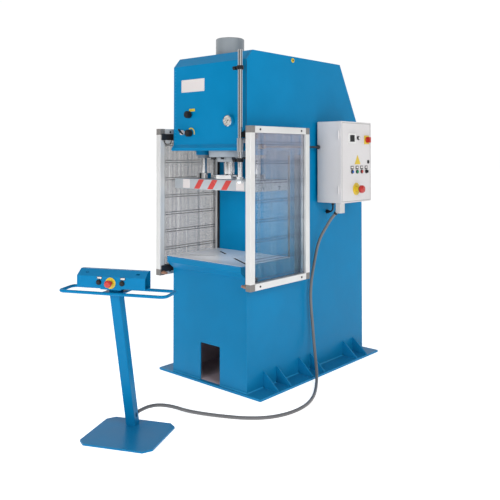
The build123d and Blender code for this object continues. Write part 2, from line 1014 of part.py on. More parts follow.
# Platen with two T-slots across its underside
with BuildPart() as platen:
    with BuildSketch(level(platen_bottom)):
        with Locations((0, (platen_front + platen_back) / 2)):
            Rectangle(platen_width, platen_back - platen_front)
    extrude(amount=platen_thick)
    chamfer(platen.edges(), length=platen_edge)
    with BuildSketch(facing_side(-platen_width / 2)):
        for place in platen_slots:
            with Locations((place, platen_bottom)):
                Rectangle(slot_mouth, slot_mouth_depth, align=(Align.CENTER, Align.MIN))
            with Locations((place, platen_bottom + slot_mouth_depth + slot_head_depth / 2)):
                SlotOverall(slot_head, slot_head_depth)
    extrude(amount=platen_width, mode=Mode.SUBTRACT)
save(platen, "platen")


# Bracket on the platen that carries the trip rod
with BuildPart() as trip_rod_bracket:
    with BuildSketch(level(platen_top)):
        with Locations((trip_x, trip_y)):
            Circle(trip_bracket_width / 2)
        with Locations((trip_x, (trip_y + trip_bracket_back) / 2)):
            Rectangle(trip_bracket_width, trip_bracket_back - trip_y)
    extrude(amount=trip_bracket_thick)
    chamfer(trip_rod_bracket.edges().group_by(Axis.Z)[-1], length=platen_edge)
    with BuildSketch(level(platen_top)):
        with Locations((trip_x, trip_y)):
            Circle(trip_neck / 2 + fit_gap)
    extrude(amount=trip_bracket_thick, mode=Mode.SUBTRACT)
save(trip_rod_bracket, "trip_rod_bracket")


# Trip rod with its shoulder, domed nut and turned-down end
with BuildPart() as trip_rod:
    rod_foot = platen_top + trip_bracket_thick
    with BuildSketch(level(rod_foot)):
        with Locations((trip_x, trip_y)):
            Circle(trip_diameter / 2)
    extrude(amount=trip_top - rod_foot)
    chamfer(trip_rod.edges().group_by(Axis.Z)[-1], length=platen_edge)
    with BuildSketch(level(rod_foot)):
        with Locations((trip_x, trip_y)):
            RegularPolygon(trip_nut_diameter / 2, 6)
    extrude(amount=trip_nut_height)
    with BuildSketch(level(rod_foot)):
        with Locations((trip_x, trip_y)):
            Circle(trip_neck / 2)
    extrude(amount=-trip_bracket_thick)
    with BuildSketch(level(platen_top)):
        with Locations((trip_x, trip_y)):
            Circle(trip_nut_diameter / 2)
    extrude(amount=-trip_nut_height, taper=trip_nut_dome)
save(trip_rod, "trip_rod")


# Clamp collars on the trip rod, each with a knurled knob
with BuildPart() as stop_collars:
    for height in collar_levels:
        with BuildSketch(level(height - collar_height / 2)):
            with Locations((trip_x, trip_y)):
                Circle(collar_diameter / 2)
        extrude(amount=collar_height)
        collar_side = trip_x - collar_diameter / 2
        with BuildSketch(facing_side(collar_side + 4)):
            with Locations((trip_y, height)):
                Circle(collar_stud / 2)
        extrude(amount=-collar_stud_length - 4)
        with BuildSketch(facing_side(collar_side - collar_stud_length)):
            with Locations((trip_y, height)):
                Circle(collar_knob_diameter / 2)
        extrude(amount=-collar_knob_length)
        with BuildSketch(level(height - collar_height / 2)):
            with Locations((trip_x, trip_y)):
                Circle(trip_diameter / 2 + fit_gap)
        extrude(amount=collar_height, mode=Mode.SUBTRACT)
save(stop_collars, "stop_collars")


# Sleeve on the head that guides the trip rod, with its mounting block
with BuildPart() as trip_rod_guide:
    with BuildSketch(level(sleeve_bottom)):
        with Locations((trip_x, trip_y)):
            Circle(sleeve_diameter / 2)
    extrude(amount=sleeve_top - sleeve_bottom)
    with BuildSketch(level(sleeve_top)):
        with Locations((trip_x, (trip_y + body_front) / 2)):
            Rectangle(sleeve_block_width, body_front - trip_y)
    extrude(amount=-sleeve_block_height)
    with BuildSketch(level(sleeve_bottom)):
        with Locations((trip_x, trip_y)):
            Circle(trip_diameter / 2 + running_gap)
    extrude(amount=sleeve_top - sleeve_bottom, mode=Mode.SUBTRACT)
save(trip_rod_guide, "trip_rod_guide")


# Limit switch beside the trip rod, with its roller wand
with BuildPart() as limit_switch:
    switch_x = half_width - switch_width / 2 + switch_overhang
    with BuildSketch(level(switch_bottom)):
        with Locations((switch_x, body_front - switch_depth / 2)):
            RectangleRounded(switch_width, switch_depth, switch_corner)
    extrude(amount=switch_height)
    with BuildSketch(level(switch_bottom + switch_height)):
        with Locations((switch_x, body_front - switch_depth + switch_plunger_inset)):
            Circle(switch_plunger / 2)
    extrude(amount=switch_plunger_height)
save(limit_switch, "limit_switch")


# Pressure gauge case on its stem
gauge_back = body_front - gauge_stand_off
gauge_face = gauge_back - gauge_depth
with BuildPart() as gauge_case:
    with BuildSketch(facing_front(gauge_back)):
        with Locations((gauge_x, gauge_z)):
            Circle(gauge_diameter / 2)
    extrude(amount=gauge_depth)
    chamfer(gauge_case.edges().filter_by(GeomType.CIRCLE), length=gauge_rim / 2)
    with BuildSketch(facing_front(gauge_face)):
        with Locations((gauge_x, gauge_z)):
            Circle(gauge_diameter / 2 - gauge_wall)
    extrude(amount=-gauge_dish, mode=Mode.SUBTRACT)
    with BuildSketch(facing_front(body_front + stem_behind_cover)):
        with Locations((gauge_x, gauge_z)):
            Circle(head_knob_stem / 2)
    extrude(amount=stem_behind_cover + gauge_stand_off)
    with BuildSketch(facing_front(gauge_face + gauge_dish)):
        with Locations((gauge_x, gauge_z)):
            Circle(gauge_spindle / 2)
    extrude(amount=gauge_spindle_length)
save(gauge_case, "gauge_case")


# Pointer on the spindle of the gauge
with BuildPart() as gauge_needle:
    with BuildSketch(facing_front(gauge_face + needle_height)):
        with Locations(Location((gauge_x, gauge_z), needle_zero)):
            Circle(needle_hub / 2)
            Polygon(
                (-needle_half_width, -needle_tail),
                (needle_half_width, -needle_tail),
                (needle_tip_half_width, needle_length),
                (-needle_tip_half_width, needle_length),
                align=None,
            )
            Circle(needle_hole / 2, mode=Mode.SUBTRACT)
    extrude(amount=needle_thick)
save(gauge_needle, "gauge_needle")


def head_knob(x, z):
    """Fluted hand knob with its stem through the head cover."""
    face = body_front - head_knob_stand_off
    with BuildPart() as knob:
        with BuildSketch(facing_front(face)):
            with Locations((x, z)):
                Circle(head_knob_diameter / 2)
                with PolarLocations(head_knob_diameter / 2 + head_knob_flute_out, head_knob_flutes):
                    Circle(head_knob_flute / 2, mode=Mode.SUBTRACT)
        extrude(amount=head_knob_length)
        with BuildSketch(facing_front(body_front + stem_behind_cover)):
            with Locations((x, z)):
                Circle(head_knob_stem / 2)
        extrude(amount=stem_behind_cover + head_knob_stand_off)
        with BuildSketch(facing_front(face - head_knob_length)):
            with Locations((x, z)):
                Circle(head_knob_diameter / 2 - head_knob_face_inset)
        extrude(amount=head_knob_face_height, taper=head_knob_face_taper)
    return knob


save(head_knob(pressure_knob_x, pressure_knob_z), "pressure_knob")
save(head_knob(flow_knob_x, flow_knob_z), "flow_knob")


def draw_profile(slot_way):
    """Section of the guard profile: closed outer faces, a hollow core and one T-slot."""
    RectangleRounded(profile, profile, profile_radius)
    face = slot_way * profile / 2
    with Locations((0, face - slot_way * profile_lip / 2)):
        Rectangle(profile_slot, profile_lip, mode=Mode.SUBTRACT)
    with Locations((0, face - slot_way * (profile_lip + profile_cavity_depth / 2))):
        Rectangle(profile_cavity, profile_cavity_depth, mode=Mode.SUBTRACT)
    with Locations((0, -face + slot_way * (profile_wall + profile_core_depth / 2))):
        core_width = profile - 2 * profile_wall
        RectangleRounded(core_width, profile_core_depth, profile_core_corner, mode=Mode.SUBTRACT)
    chamber_x = profile / 2 - profile_wall - profile_chamber_width / 2
    with Locations((0, face - slot_way * (profile_wall + profile_chamber_depth / 2))):
        with GridLocations(2 * chamber_x, 1, 2, 1):
            Rectangle(profile_chamber_width, profile_chamber_depth, mode=Mode.SUBTRACT)


def guard_frame(side):
    """Two posts and two rails of hollow profile, and the hinge leaves on the rear post."""
    middle = side * guard_mid
    post_y = {1: guard_front + profile / 2, -1: guard_back - profile / 2}
    rail_z = {1: guard_bottom + profile / 2, -1: guard_top - profile / 2}
    with BuildPart() as frame:
        for way, y in post_y.items():
            with BuildSketch(Plane((middle, y, guard_bottom + profile))):
                draw_profile(way)
            extrude(amount=guard_top - guard_bottom - 2 * profile)
        for way, z in rail_z.items():
            with BuildSketch(Plane((middle, guard_back - profile, z), x_dir=(1, 0, 0), z_dir=(0, -1, 0))):
                draw_profile(way)
            extrude(amount=guard_back - guard_front - 2 * profile)
        hinge_x = side * (guard_inner - hinge_offset_x)
        hinge_y = guard_back + hinge_offset_y
        for height in hinge_levels:
            with BuildSketch(level(height - hinge_knuckle / 2)):
                with Locations((hinge_x, hinge_y)):
                    Circle(hinge_barrel)
                with Locations((side * guard_inner, guard_back)):
                    Rectangle(2 * hinge_offset_x, hinge_leaf, align=(Align.CENTER, Align.MIN))
            extrude(amount=hinge_knuckle)
            with BuildSketch(level(height - hinge_leaf_height / 2)):
                with Locations((side * (guard_mid + hinge_leaf_shift), guard_back)):
                    Rectangle(profile - hinge_leaf_inset, hinge_leaf, align=(Align.CENTER, Align.MIN))
            extrude(amount=hinge_leaf_height)
            with BuildSketch(level(height - hinge_knuckle / 2)):
                with Locations((hinge_x, hinge_y)):
                    Circle(hinge_pin / 2 + hinge_pin_gap)
            extrude(amount=hinge_knuckle, mode=Mode.SUBTRACT)
    return frame


def guard_corners(side):
    """Moulded corner pieces that join the posts and rails."""
    with BuildPart() as corners:
        for y in (guard_front + profile / 2, guard_back - profile / 2):
            for z in (guard_bottom + profile / 2, guard_top - profile / 2):
                with Locations((side * guard_mid, y, z)):
                    Box(profile, profile, profile)
        fillet(corners.edges().filter_by(Axis.Z), radius=profile_radius)
    return corners


def guard_panel(side):
    """Clear double sheet in the profile slots: upright webs inside, pairs of raised lines outside."""
    low = guard_bottom + profile - panel_bite
    high = guard_top - profile + panel_bite
    front = guard_front + profile - panel_bite
    back = guard_back - profile + panel_bite
    middle = side * guard_mid
    with BuildPart() as panel:
        with BuildSketch(facing_side(middle - panel_sheet / 2)):
            with Locations(((front + back) / 2, (low + high) / 2)):
                Rectangle(back - front, high - low)
            for y in (front, back):
                for z in (low, high):
                    with Locations((y, z)):
                        Rectangle(2 * panel_notch, 2 * panel_notch, mode=Mode.SUBTRACT)
        extrude(amount=panel_sheet)
        with BuildSketch(facing_side(middle - panel_sheet / 2 - line_proud)):
            for pair in range(line_count):
                for line in (-1, 1):
                    z = first_line - pair * line_pitch + line * line_gap / 2
                    with Locations(((front + back) / 2, z)):
                        Rectangle(back - front - 2 * (panel_bite + line_end_gap), line_height)
        extrude(amount=panel_sheet + 2 * line_proud)
        cells = int((back - front - 2 * panel_notch) / panel_cell_pitch)
        with BuildSketch(level(low)):
            with Locations((middle, (front + back) / 2)):
                with GridLocations(1, panel_cell_pitch, 1, cells):
                    Rectangle(panel_sheet - 2 * panel_skin, panel_cell_pitch - panel_web)
        extrude(amount=high - low, mode=Mode.SUBTRACT)
    return panel


# Upright bars on the side plates with the fixed hinge leaves and pins
with BuildPart() as hinge_strips:
    reach = guard_inner - strip_gap
    hinge_y = guard_back + hinge_offset_y
    knuckle = (hinge_leaf_height - hinge_knuckle) / 2 - hinge_gap
    for side in (-1, 1):
        hinge_x = side * (guard_inner - hinge_offset_x)
        with BuildSketch(level(strip_bottom)):
            with Locations((side * (half_width + reach) / 2, guard_back - strip_depth / 2)):
                RectangleRounded(reach - half_width, strip_depth, strip_corner)
                Rectangle(
                    reach - half_width - 2 * strip_wall,
                    strip_depth - 2 * strip_wall,
                    mode=Mode.SUBTRACT,
                )
        extrude(amount=strip_top - strip_bottom)
        for height in hinge_levels:
            for bottom in (height - hinge_leaf_height / 2, height + hinge_knuckle / 2 + hinge_gap):
                with BuildSketch(level(bottom)):
                    with Locations((hinge_x, hinge_y)):
                        Circle(hinge_barrel)
                    with Locations((side * (reach - strip_corner), guard_back)):
                        Rectangle(2 * hinge_barrel, hinge_leaf, align=(Align.CENTER, Align.MIN))
                extrude(amount=knuckle)
            with BuildSketch(level(height - hinge_leaf_height / 2)):
                with Locations((side * (half_width + reach - 2 * strip_wall) / 2, guard_back)):
                    leaf_width = reach - half_width - strip_leaf_inset
                    Rectangle(leaf_width, hinge_leaf, align=(Align.CENTER, Align.MIN))
            extrude(amount=hinge_leaf_height)
            with BuildSketch(level(height - hinge_leaf_height / 2 - hinge_pin_end)):
                with Locations((hinge_x, hinge_y)):
                    Circle(hinge_pin / 2)
            extrude(amount=hinge_leaf_height + 2 * hinge_pin_end)
save(hinge_strips, "hinge_strips")


# Angle brackets on the side plates that stop and catch the closed guards
with BuildPart() as guard_stops:
    reach = guard_inner - stop_gap
    for side in (-1, 1):
        for height in stop_levels:
            with BuildSketch(level(height - stop_height / 2)):
                with BuildLine():
                    Polyline(
                        (side * half_width, stop_back),
                        (side * reach, stop_back),
                        (side * reach, stop_front),
                        (side * (reach - stop_thick), stop_front),
                        (side * (reach - stop_thick), stop_back - stop_thick),
                        (side * half_width, stop_back - stop_thick),
                        close=True,
                    )
                make_face()
            extrude(amount=stop_height)
save(guard_stops, "guard_stops")


for side, word in ((-1, "left"), (1, "right")):
    save(guard_frame(side), f"{word}_guard_frame")
    save(guard_corners(side), f"{word}_guard_corners")
    save(guard_panel(side), f"{word}_guard_panel")


# Bronze pivot block of the hand lever, with its pin
lever_hub_x = half_width + lever_block_reach + lever_hub_gap
with BuildPart() as lever_bracket:
    with BuildSketch(facing_side(half_width)):
        with Locations((lever_y, lever_z)):
            RectangleRounded(lever_block_length, lever_block_height, lever_block_corner)
    extrude(amount=lever_block_reach)
    with BuildSketch(facing_side(half_width + lever_block_reach)):
        with Locations((lever_y, lever_z)):
            Circle(lever_pin / 2)
    extrude(amount=2 * lever_hub_gap + lever_hub_width)
    with BuildSketch(facing_side(lever_hub_x + lever_hub_width + lever_hub_gap)):
        with Locations((lever_y, lever_z)):
            Circle(lever_pin_head / 2)
    extrude(amount=lever_pin_head_thick)
save(lever_bracket, "lever_bracket")


# Hand lever: hub, straight rod and ball
with BuildPart() as hand_lever:
    with BuildSketch(facing_side(lever_hub_x)):
        with Locations((lever_y, lever_z)):
            Circle(lever_hub / 2)
    extrude(amount=lever_hub_width)
    rod_start = Vector(lever_hub_x + lever_hub_width / 2, lever_y, lever_z)
    rod_end = Vector(lever_ball_x, lever_ball_y, lever_z)
    with BuildSketch(Plane(rod_start, z_dir=rod_end - rod_start)):
        Circle(lever_rod / 2)
    extrude(amount=(rod_end - rod_start).length)
    with Locations(rod_end):
        Sphere(lever_ball / 2)
    with BuildSketch(facing_side(lever_hub_x)):
        with Locations((lever_y, lever_z)):
            Circle(lever_pin / 2 + hinge_pin_gap)
    extrude(amount=lever_hub_width, mode=Mode.SUBTRACT)
save(hand_lever, "hand_lever")


# Cabinet shell with four mounting feet and the fixed halves of its hinges
door_axis_x = door_back_x
door_axis_y = cabinet_front - door_barrel_offset
with BuildPart() as cabinet_box:
    with BuildSketch(facing_side(cabinet_back_x)):
        with Locations((cabinet_middle_y, cabinet_middle_z)):
            RectangleRounded(cabinet_length, cabinet_height, cabinet_corner)
    extrude(amount=cabinet_depth)
    with BuildSketch(facing_side(cabinet_back_x + cabinet_wall)):
        with Locations((cabinet_middle_y, cabinet_middle_z)):
            Rectangle(cabinet_length - 2 * cabinet_wall, cabinet_height - 2 * cabinet_wall)
    extrude(amount=cabinet_depth, mode=Mode.SUBTRACT)
    with BuildSketch(facing_side(half_width)):
        for y in (cabinet_front + cabinet_foot_inset, cabinet_back - cabinet_foot_inset):
            for z in (cabinet_bottom + cabinet_foot_inset, cabinet_top - cabinet_foot_inset):
                with Locations((y, z)):
                    Circle(cabinet_foot / 2)
    extrude(amount=cabinet_stand_off)
    outer_knuckle = (door_hinge_height - door_knuckle) / 2 - hinge_gap
    for height in door_hinge_levels:
        for bottom in (height - door_hinge_height / 2, height + door_knuckle / 2 + hinge_gap):
            with BuildSketch(level(bottom)):
                with Locations((door_axis_x, door_axis_y)):
                    Circle(door_barrel)
                with Locations((door_axis_x, cabinet_front)):
                    Rectangle(door_leaf_reach, door_leaf, align=(Align.MAX, Align.MAX))
            extrude(amount=outer_knuckle)
        with BuildSketch(level(height - door_hinge_height / 2)):
            with Locations((door_axis_x, door_axis_y)):
                Circle(door_barrel / 2)
        extrude(amount=door_hinge_height)
    with BuildSketch(level(cabinet_bottom)):
        with Locations((outlet_x, outlet_y)):
            Circle(outlet_width / 2 - outlet_wire_wall)
    extrude(amount=2 * cabinet_wall, mode=Mode.SUBTRACT)
save(cabinet_box, "cabinet_box")


# Folded door with holes for its controls
with BuildPart() as cabinet_door:
    with BuildSketch(facing_side(door_back_x)):
        with Locations((cabinet_middle_y, cabinet_middle_z)):
            RectangleRounded(cabinet_length, cabinet_height, cabinet_corner)
    extrude(amount=door_thick)
    with BuildSketch(facing_side(door_back_x)):
        with Locations((cabinet_middle_y, cabinet_middle_z)):
            Rectangle(cabinet_length - 2 * cabinet_wall, cabinet_height - 2 * cabinet_wall)
    extrude(amount=door_thick - cabinet_wall, mode=Mode.SUBTRACT)
    for height in door_hinge_levels:
        with BuildSketch(level(height - door_knuckle / 2)):
            with Locations((door_axis_x, door_axis_y)):
                Circle(door_barrel)
            with Locations((door_axis_x, cabinet_front)):
                Rectangle(door_leaf_reach, door_leaf, align=(Align.MIN, Align.MAX))
        extrude(amount=door_knuckle)
        with BuildSketch(level(height - door_knuckle / 2)):
            with Locations((door_axis_x, door_axis_y)):
                Circle(door_barrel / 2 + hinge_pin_gap)
        extrude(amount=door_knuckle, mode=Mode.SUBTRACT)
    with BuildSketch(facing_side(door_face_x)):
        with Locations(
            (lamp_y, button_row),
            (green_button_y, button_row),
            (red_button_y, button_row),
            (selector_y, button_row),
            (main_switch_y, main_switch_z),
            (lock_y, lock_z),
            (stop_button_y, stop_button_z),
        ):
            Circle(button_diameter / 2 + button_gap)
    extrude(amount=-2 * cabinet_wall, mode=Mode.SUBTRACT)
save(cabinet_door, "cabinet_door")


# Fixed fittings on the door: meter, switch plate, bezels, lamp, key barrel and stop-button disc
with BuildPart() as door_fittings:
    with BuildSketch(facing_side(door_face_x)):
        with Locations((meter_y, meter_z)):
            RectangleRounded(meter_width, meter_height, meter_corner)
    extrude(amount=meter_proud)
    with BuildSketch(facing_side(door_face_x + meter_proud)):
        with Locations((meter_y, meter_z)):
            Rectangle(meter_width - 2 * meter_rim, meter_height - 2 * meter_rim)
    extrude(amount=-meter_recess, mode=Mode.SUBTRACT)
    with BuildSketch(facing_side(door_face_x)):
        with Locations((main_switch_y, main_switch_z)):
            RectangleRounded(main_plate, main_plate, main_plate_corner)
            Circle(button_diameter / 2 + button_gap, mode=Mode.SUBTRACT)
    extrude(amount=main_plate_thick)
    with BuildSketch(facing_side(door_face_x)):
        for y in (green_button_y, red_button_y, selector_y):
            with Locations((y, button_row)):
                Circle(bezel_diameter / 2)
                Circle(button_diameter / 2 + button_gap, mode=Mode.SUBTRACT)
    extrude(amount=bezel_height)
    with BuildSketch(facing_side(door_face_x)):
        with Locations((lamp_y, button_row), (key_y, key_z)):
            Circle(bezel_diameter / 2)
    extrude(amount=bezel_height)
    with BuildSketch(facing_side(door_face_x + bezel_height)):
        with Locations((lamp_y, button_row), (key_y, key_z)):
            Circle(button_diameter / 2)
    extrude(amount=button_proud)
    with BuildSketch(facing_side(door_face_x)):
        with Locations((stop_button_y, stop_button_z)):
            Circle(stop_disc / 2)
            Circle(button_diameter / 2 + button_gap, mode=Mode.SUBTRACT)
    extrude(amount=stop_disc_thick)
    with BuildSketch(facing_side(door_face_x + stop_disc_thick)):
        with Locations((stop_button_y, stop_button_z)):
            Circle(stop_collar / 2)
            Circle(button_diameter / 2 + button_gap, mode=Mode.SUBTRACT)
    extrude(amount=stop_collar_height)
save(door_fittings, "door_fittings")


def push_button(y):
    """Round push button in its bezel, reaching through the door."""
    with BuildPart() as button:
        with BuildSketch(facing_side(door_face_x - button_reach)):
            with Locations((y, button_row)):
                Circle(button_diameter / 2)
        extrude(amount=button_reach + bezel_height + button_proud)
        chamfer(button.edges().group_by(Axis.X)[-1], length=button_edge)
    return button


save(push_button(green_button_y), "green_button")
save(push_button(red_button_y), "red_button")


# Selector switch with its grip bar
with BuildPart() as selector_switch:
    with BuildSketch(facing_side(door_face_x - button_reach)):
        with Locations((selector_y, button_row)):
            Circle(button_diameter / 2)
    extrude(amount=button_reach + bezel_height + selector_collar)
    with BuildSketch(facing_side(door_face_x + bezel_height + selector_collar)):
        with Locations((selector_y, button_row)):
            SlotOverall(button_diameter - grip_end_gap, selector_grip_width, rotation=90)
    extrude(amount=selector_grip_height)
save(selector_switch, "selector_switch")


# Red rotary handle of the main switch
with BuildPart() as main_switch:
    with BuildSketch(facing_side(door_face_x - button_reach)):
        with Locations((main_switch_y, main_switch_z)):
            Circle(button_diameter / 2)
    extrude(amount=button_reach + main_plate_thick + fit_gap)
    with BuildSketch(facing_side(door_face_x + main_plate_thick + fit_gap)):
        with Locations((main_switch_y, main_switch_z)):
            Circle(main_dial / 2)
    extrude(amount=main_dial_thick)
    with BuildSketch(facing_side(door_face_x + main_plate_thick + fit_gap + main_dial_thick)):
        with Locations((main_switch_y, main_switch_z)):
            SlotOverall(main_dial - 2 * grip_end_gap, main_grip_width, rotation=90)
    extrude(amount=main_grip_height)
save(main_switch, "main_switch")


# Quarter-turn door lock with its square slot
with BuildPart() as door_lock:
    with BuildSketch(facing_side(door_face_x - lock_reach)):
        with Locations((lock_y, lock_z)):
            Circle(button_diameter / 2)
    extrude(amount=lock_reach)
    with BuildSketch(facing_side(door_face_x)):
        with Locations((lock_y, lock_z)):
            Circle(lock_diameter / 2)
            SlotOverall(lock_slot_length, lock_slot_width, rotation=90, mode=Mode.SUBTRACT)
    extrude(amount=lock_face)
save(door_lock, "door_lock")


def mushroom(plane, cap, cap_height, stem, stem_length):
    """Mushroom button: domed cap on a stem, drawn from the seat plane outwards."""
    with BuildPart() as button:
        with BuildSketch(plane):
            Circle(stem / 2)
        extrude(amount=stem_length)
        with BuildSketch(plane.offset(stem_length)):
            Circle(cap / 2)
        extrude(amount=cap_height)
        rims = button.edges().filter_by(GeomType.CIRCLE).filter_by(lambda rim: rim.radius > cap / 2 - 0.1)
        outer = rims.sort_by_distance(plane.offset(stem_length + cap_height).origin)[0]
        fillet(outer, radius=cap_height * mushroom_rounding)
    return button


stop_origin = (door_face_x - button_reach, stop_button_y, stop_button_z)
stop_seat = Plane(stop_origin, x_dir=(0, 1, 0), z_dir=(1, 0, 0))
stop_stem = button_reach + stop_disc_thick + stop_collar_height + stop_travel + stop_under_gap
door_stop = mushroom(stop_seat, stop_mushroom, stop_mushroom_height, button_diameter, stop_stem)
save(door_stop, "door_stop_button")


# Rows of contactors, breakers and terminals on the cabinet mounting plate
with BuildPart() as control_gear:
    gear_x = cabinet_back_x + cabinet_wall
    with BuildSketch(facing_side(gear_x)):
        with Locations((cabinet_middle_y, cabinet_middle_z)):
            Rectangle(cabinet_length - 2 * gear_margin, cabinet_height - 2 * gear_margin)
    extrude(amount=gear_plate_thick)
    for share, count, block, height, depth in gear_rows:
        row = cabinet_bottom + share * cabinet_height
        with BuildSketch(facing_side(gear_x + gear_plate_thick)):
            with Locations((cabinet_middle_y, row)):
                Rectangle(cabinet_length - 2 * gear_rail_margin, gear_rail_height)
        extrude(amount=gear_rail_thick)
        with BuildSketch(facing_side(gear_x + gear_plate_thick + gear_rail_thick)):
            with Locations((cabinet_middle_y, row)):
                with GridLocations(block + gear_block_gap, 1, count, 1):
                    Rectangle(block, height)
        extrude(amount=depth)
save(control_gear, "control_gear")


# Cable outlet box under the cabinet, with the gland in which the conduit ends
with BuildPart() as cable_outlet:
    with BuildSketch(level(cabinet_bottom)):
        with Locations((outlet_x, outlet_y)):
            RectangleRounded(outlet_width, outlet_length, outlet_corner)
    extrude(amount=-outlet_height)
    chamfer(cable_outlet.edges().group_by(Axis.Z)[0], length=outlet_bottom_edge)
    gland_way = Vector(conduit_route[0]) - Vector(conduit_route[1])
    gland_face = Plane(conduit_route[0], z_dir=gland_way)
    with BuildSketch(gland_face):
        Circle(gland_diameter_small / 2)
    extrude(amount=gland_reach)
    with BuildSketch(gland_face.offset(gland_nut_start)):
        RegularPolygon(gland_nut / 2, 6)
    extrude(amount=gland_nut_length)
save(cable_outlet, "cable_outlet")


def conduit_radii(points):
    """Arc radius at each inner point: a share of the shorter run over the tangent of half the turn."""
    radii = []
    for before, here, after in zip(points, points[1:], points[2:]):
        run_in = Vector(here) - Vector(before)
        run_out = Vector(after) - Vector(here)
        turn = math.radians(run_in.get_angle(run_out))
        radii.append(bend_share * min(run_in.length, run_out.length) / math.tan(turn / 2))
    return radii


# Flexible conduit
radii = conduit_radii(conduit_route)
with BuildPart() as conduit:
    with BuildLine() as conduit_path:
        FilletPolyline(*conduit_route, radius=radii)
    with BuildSketch(Plane(conduit_path.line @ 0, z_dir=conduit_path.line % 0)):
        Circle(conduit_diameter / 2)
    sweep(path=conduit_path.wire())
save(conduit, "conduit")
runs = [(Vector(b) - Vector(a)).length for a, b in zip(conduit_route, conduit_route[1:])]
print("conduit radii", [round(radius) for radius in radii])
print("conduit runs", [round(run) for run in runs])
conduit_length = conduit_path.wire().length
print("conduit length", round(conduit_length))
expected = conduit_length * math.pi * conduit_diameter**2 / 4
print("conduit volume ratio", round(conduit.part.volume / expected, 4))


# Frame of the control stand: local x runs from the left to the right of the operator
stand = Plane((stand_x, stand_y, 0)).rotated((0, 0, stand_turn))


def stand_level(z):
    return stand.offset(z)


def stand_side(x):
    """Upright plane of the stand at this local x; its local x runs away from the operator."""
    return Plane(stand.from_local_coords((x, 0, 0)), x_dir=stand.y_dir, z_dir=stand.x_dir)


def stand_front(x, y, z):
    """Upright plane that faces the operator, centred at this place of the stand."""
    return Plane(stand.from_local_coords((x, y, z)), x_dir=stand.x_dir, z_dir=-stand.y_dir)


# Control stand, welded in one piece: foot plate, leaning post, rail bracket, head plate and conduit gland
with BuildPart() as control_stand:
    with BuildSketch(stand_level(0)) as foot:
        with Locations((stand_plate_shift, (stand_plate_front + stand_plate_back) / 2)):
            Rectangle(stand_plate_width, stand_plate_back - stand_plate_front)
        chamfer(foot.vertices(), length=stand_plate_clip)
    extrude(amount=stand_plate_thick)
    lean = math.degrees(math.atan2(post_lean, post_lean_height))
    post_axis = Vector(*(stand.y_dir * -math.sin(math.radians(lean)))) + Vector(
        0, 0, math.cos(math.radians(lean))
    )
    post_plane = Plane(stand.origin, x_dir=stand.x_dir, z_dir=post_axis)
    post_length = 1.2 * console_bottom
    with BuildSketch(post_plane.offset(-post_width)):
        RectangleRounded(post_width, post_width, post_corner)
    extrude(amount=post_length)
    with BuildSketch(post_plane.offset(post_solid_foot)):
        RectangleRounded(post_width - 2 * post_wall, post_width - 2 * post_wall, post_inner_corner)
    extrude(amount=post_length, mode=Mode.SUBTRACT)
    slot_face = Plane(
        post_plane.from_local_coords((post_width / 2, 0, post_slot_rise)),
        x_dir=post_plane.z_dir,
        z_dir=post_plane.x_dir,
    )
    with BuildSketch(slot_face):
        SlotOverall(post_slot_length, post_slot_width)
    extrude(amount=-2 * post_wall, mode=Mode.SUBTRACT)
    split(bisect_by=level(0), keep=Keep.TOP)
    split(bisect_by=level(console_bottom - console_foot_thick), keep=Keep.BOTTOM)
    with BuildSketch(stand_level(console_bottom - console_foot_thick)):
        with Locations((0, (console_front + rail_back) / 2)):
            Rectangle(2 * console_foot_half, rail_back - console_front)
    extrude(amount=console_foot_thick)
    with BuildSketch(stand_level(rail_z - console_foot_thick / 2)):
        with Locations((0, (rail_front + rail_back) / 2)):
            Rectangle(2 * console_foot_half, rail_back - rail_front - rail_diameter - fit_gap)
    extrude(amount=console_foot_thick)
    with BuildSketch(Plane(conduit_route[-1], z_dir=Vector(conduit_route[-1]) - Vector(conduit_route[-2]))):
        Circle(gland_diameter_small / 2)
    extrude(amount=gland_length)
save(control_stand, "control_stand")


# Bent round hand rail in a closed loop round the post
with BuildSketch(stand_level(rail_z)) as rail_loop:
    with Locations((0, (rail_front + rail_back) / 2)):
        RectangleRounded(2 * rail_half, rail_back - rail_front, rail_corner)
rail_path = rail_loop.sketch.face().outer_wire()
with BuildPart() as hand_rail:
    with BuildSketch(Plane(rail_path @ 0, z_dir=rail_path % 0)):
        Circle(rail_diameter / 2)
    sweep(path=rail_path)
save(hand_rail, "hand_rail")


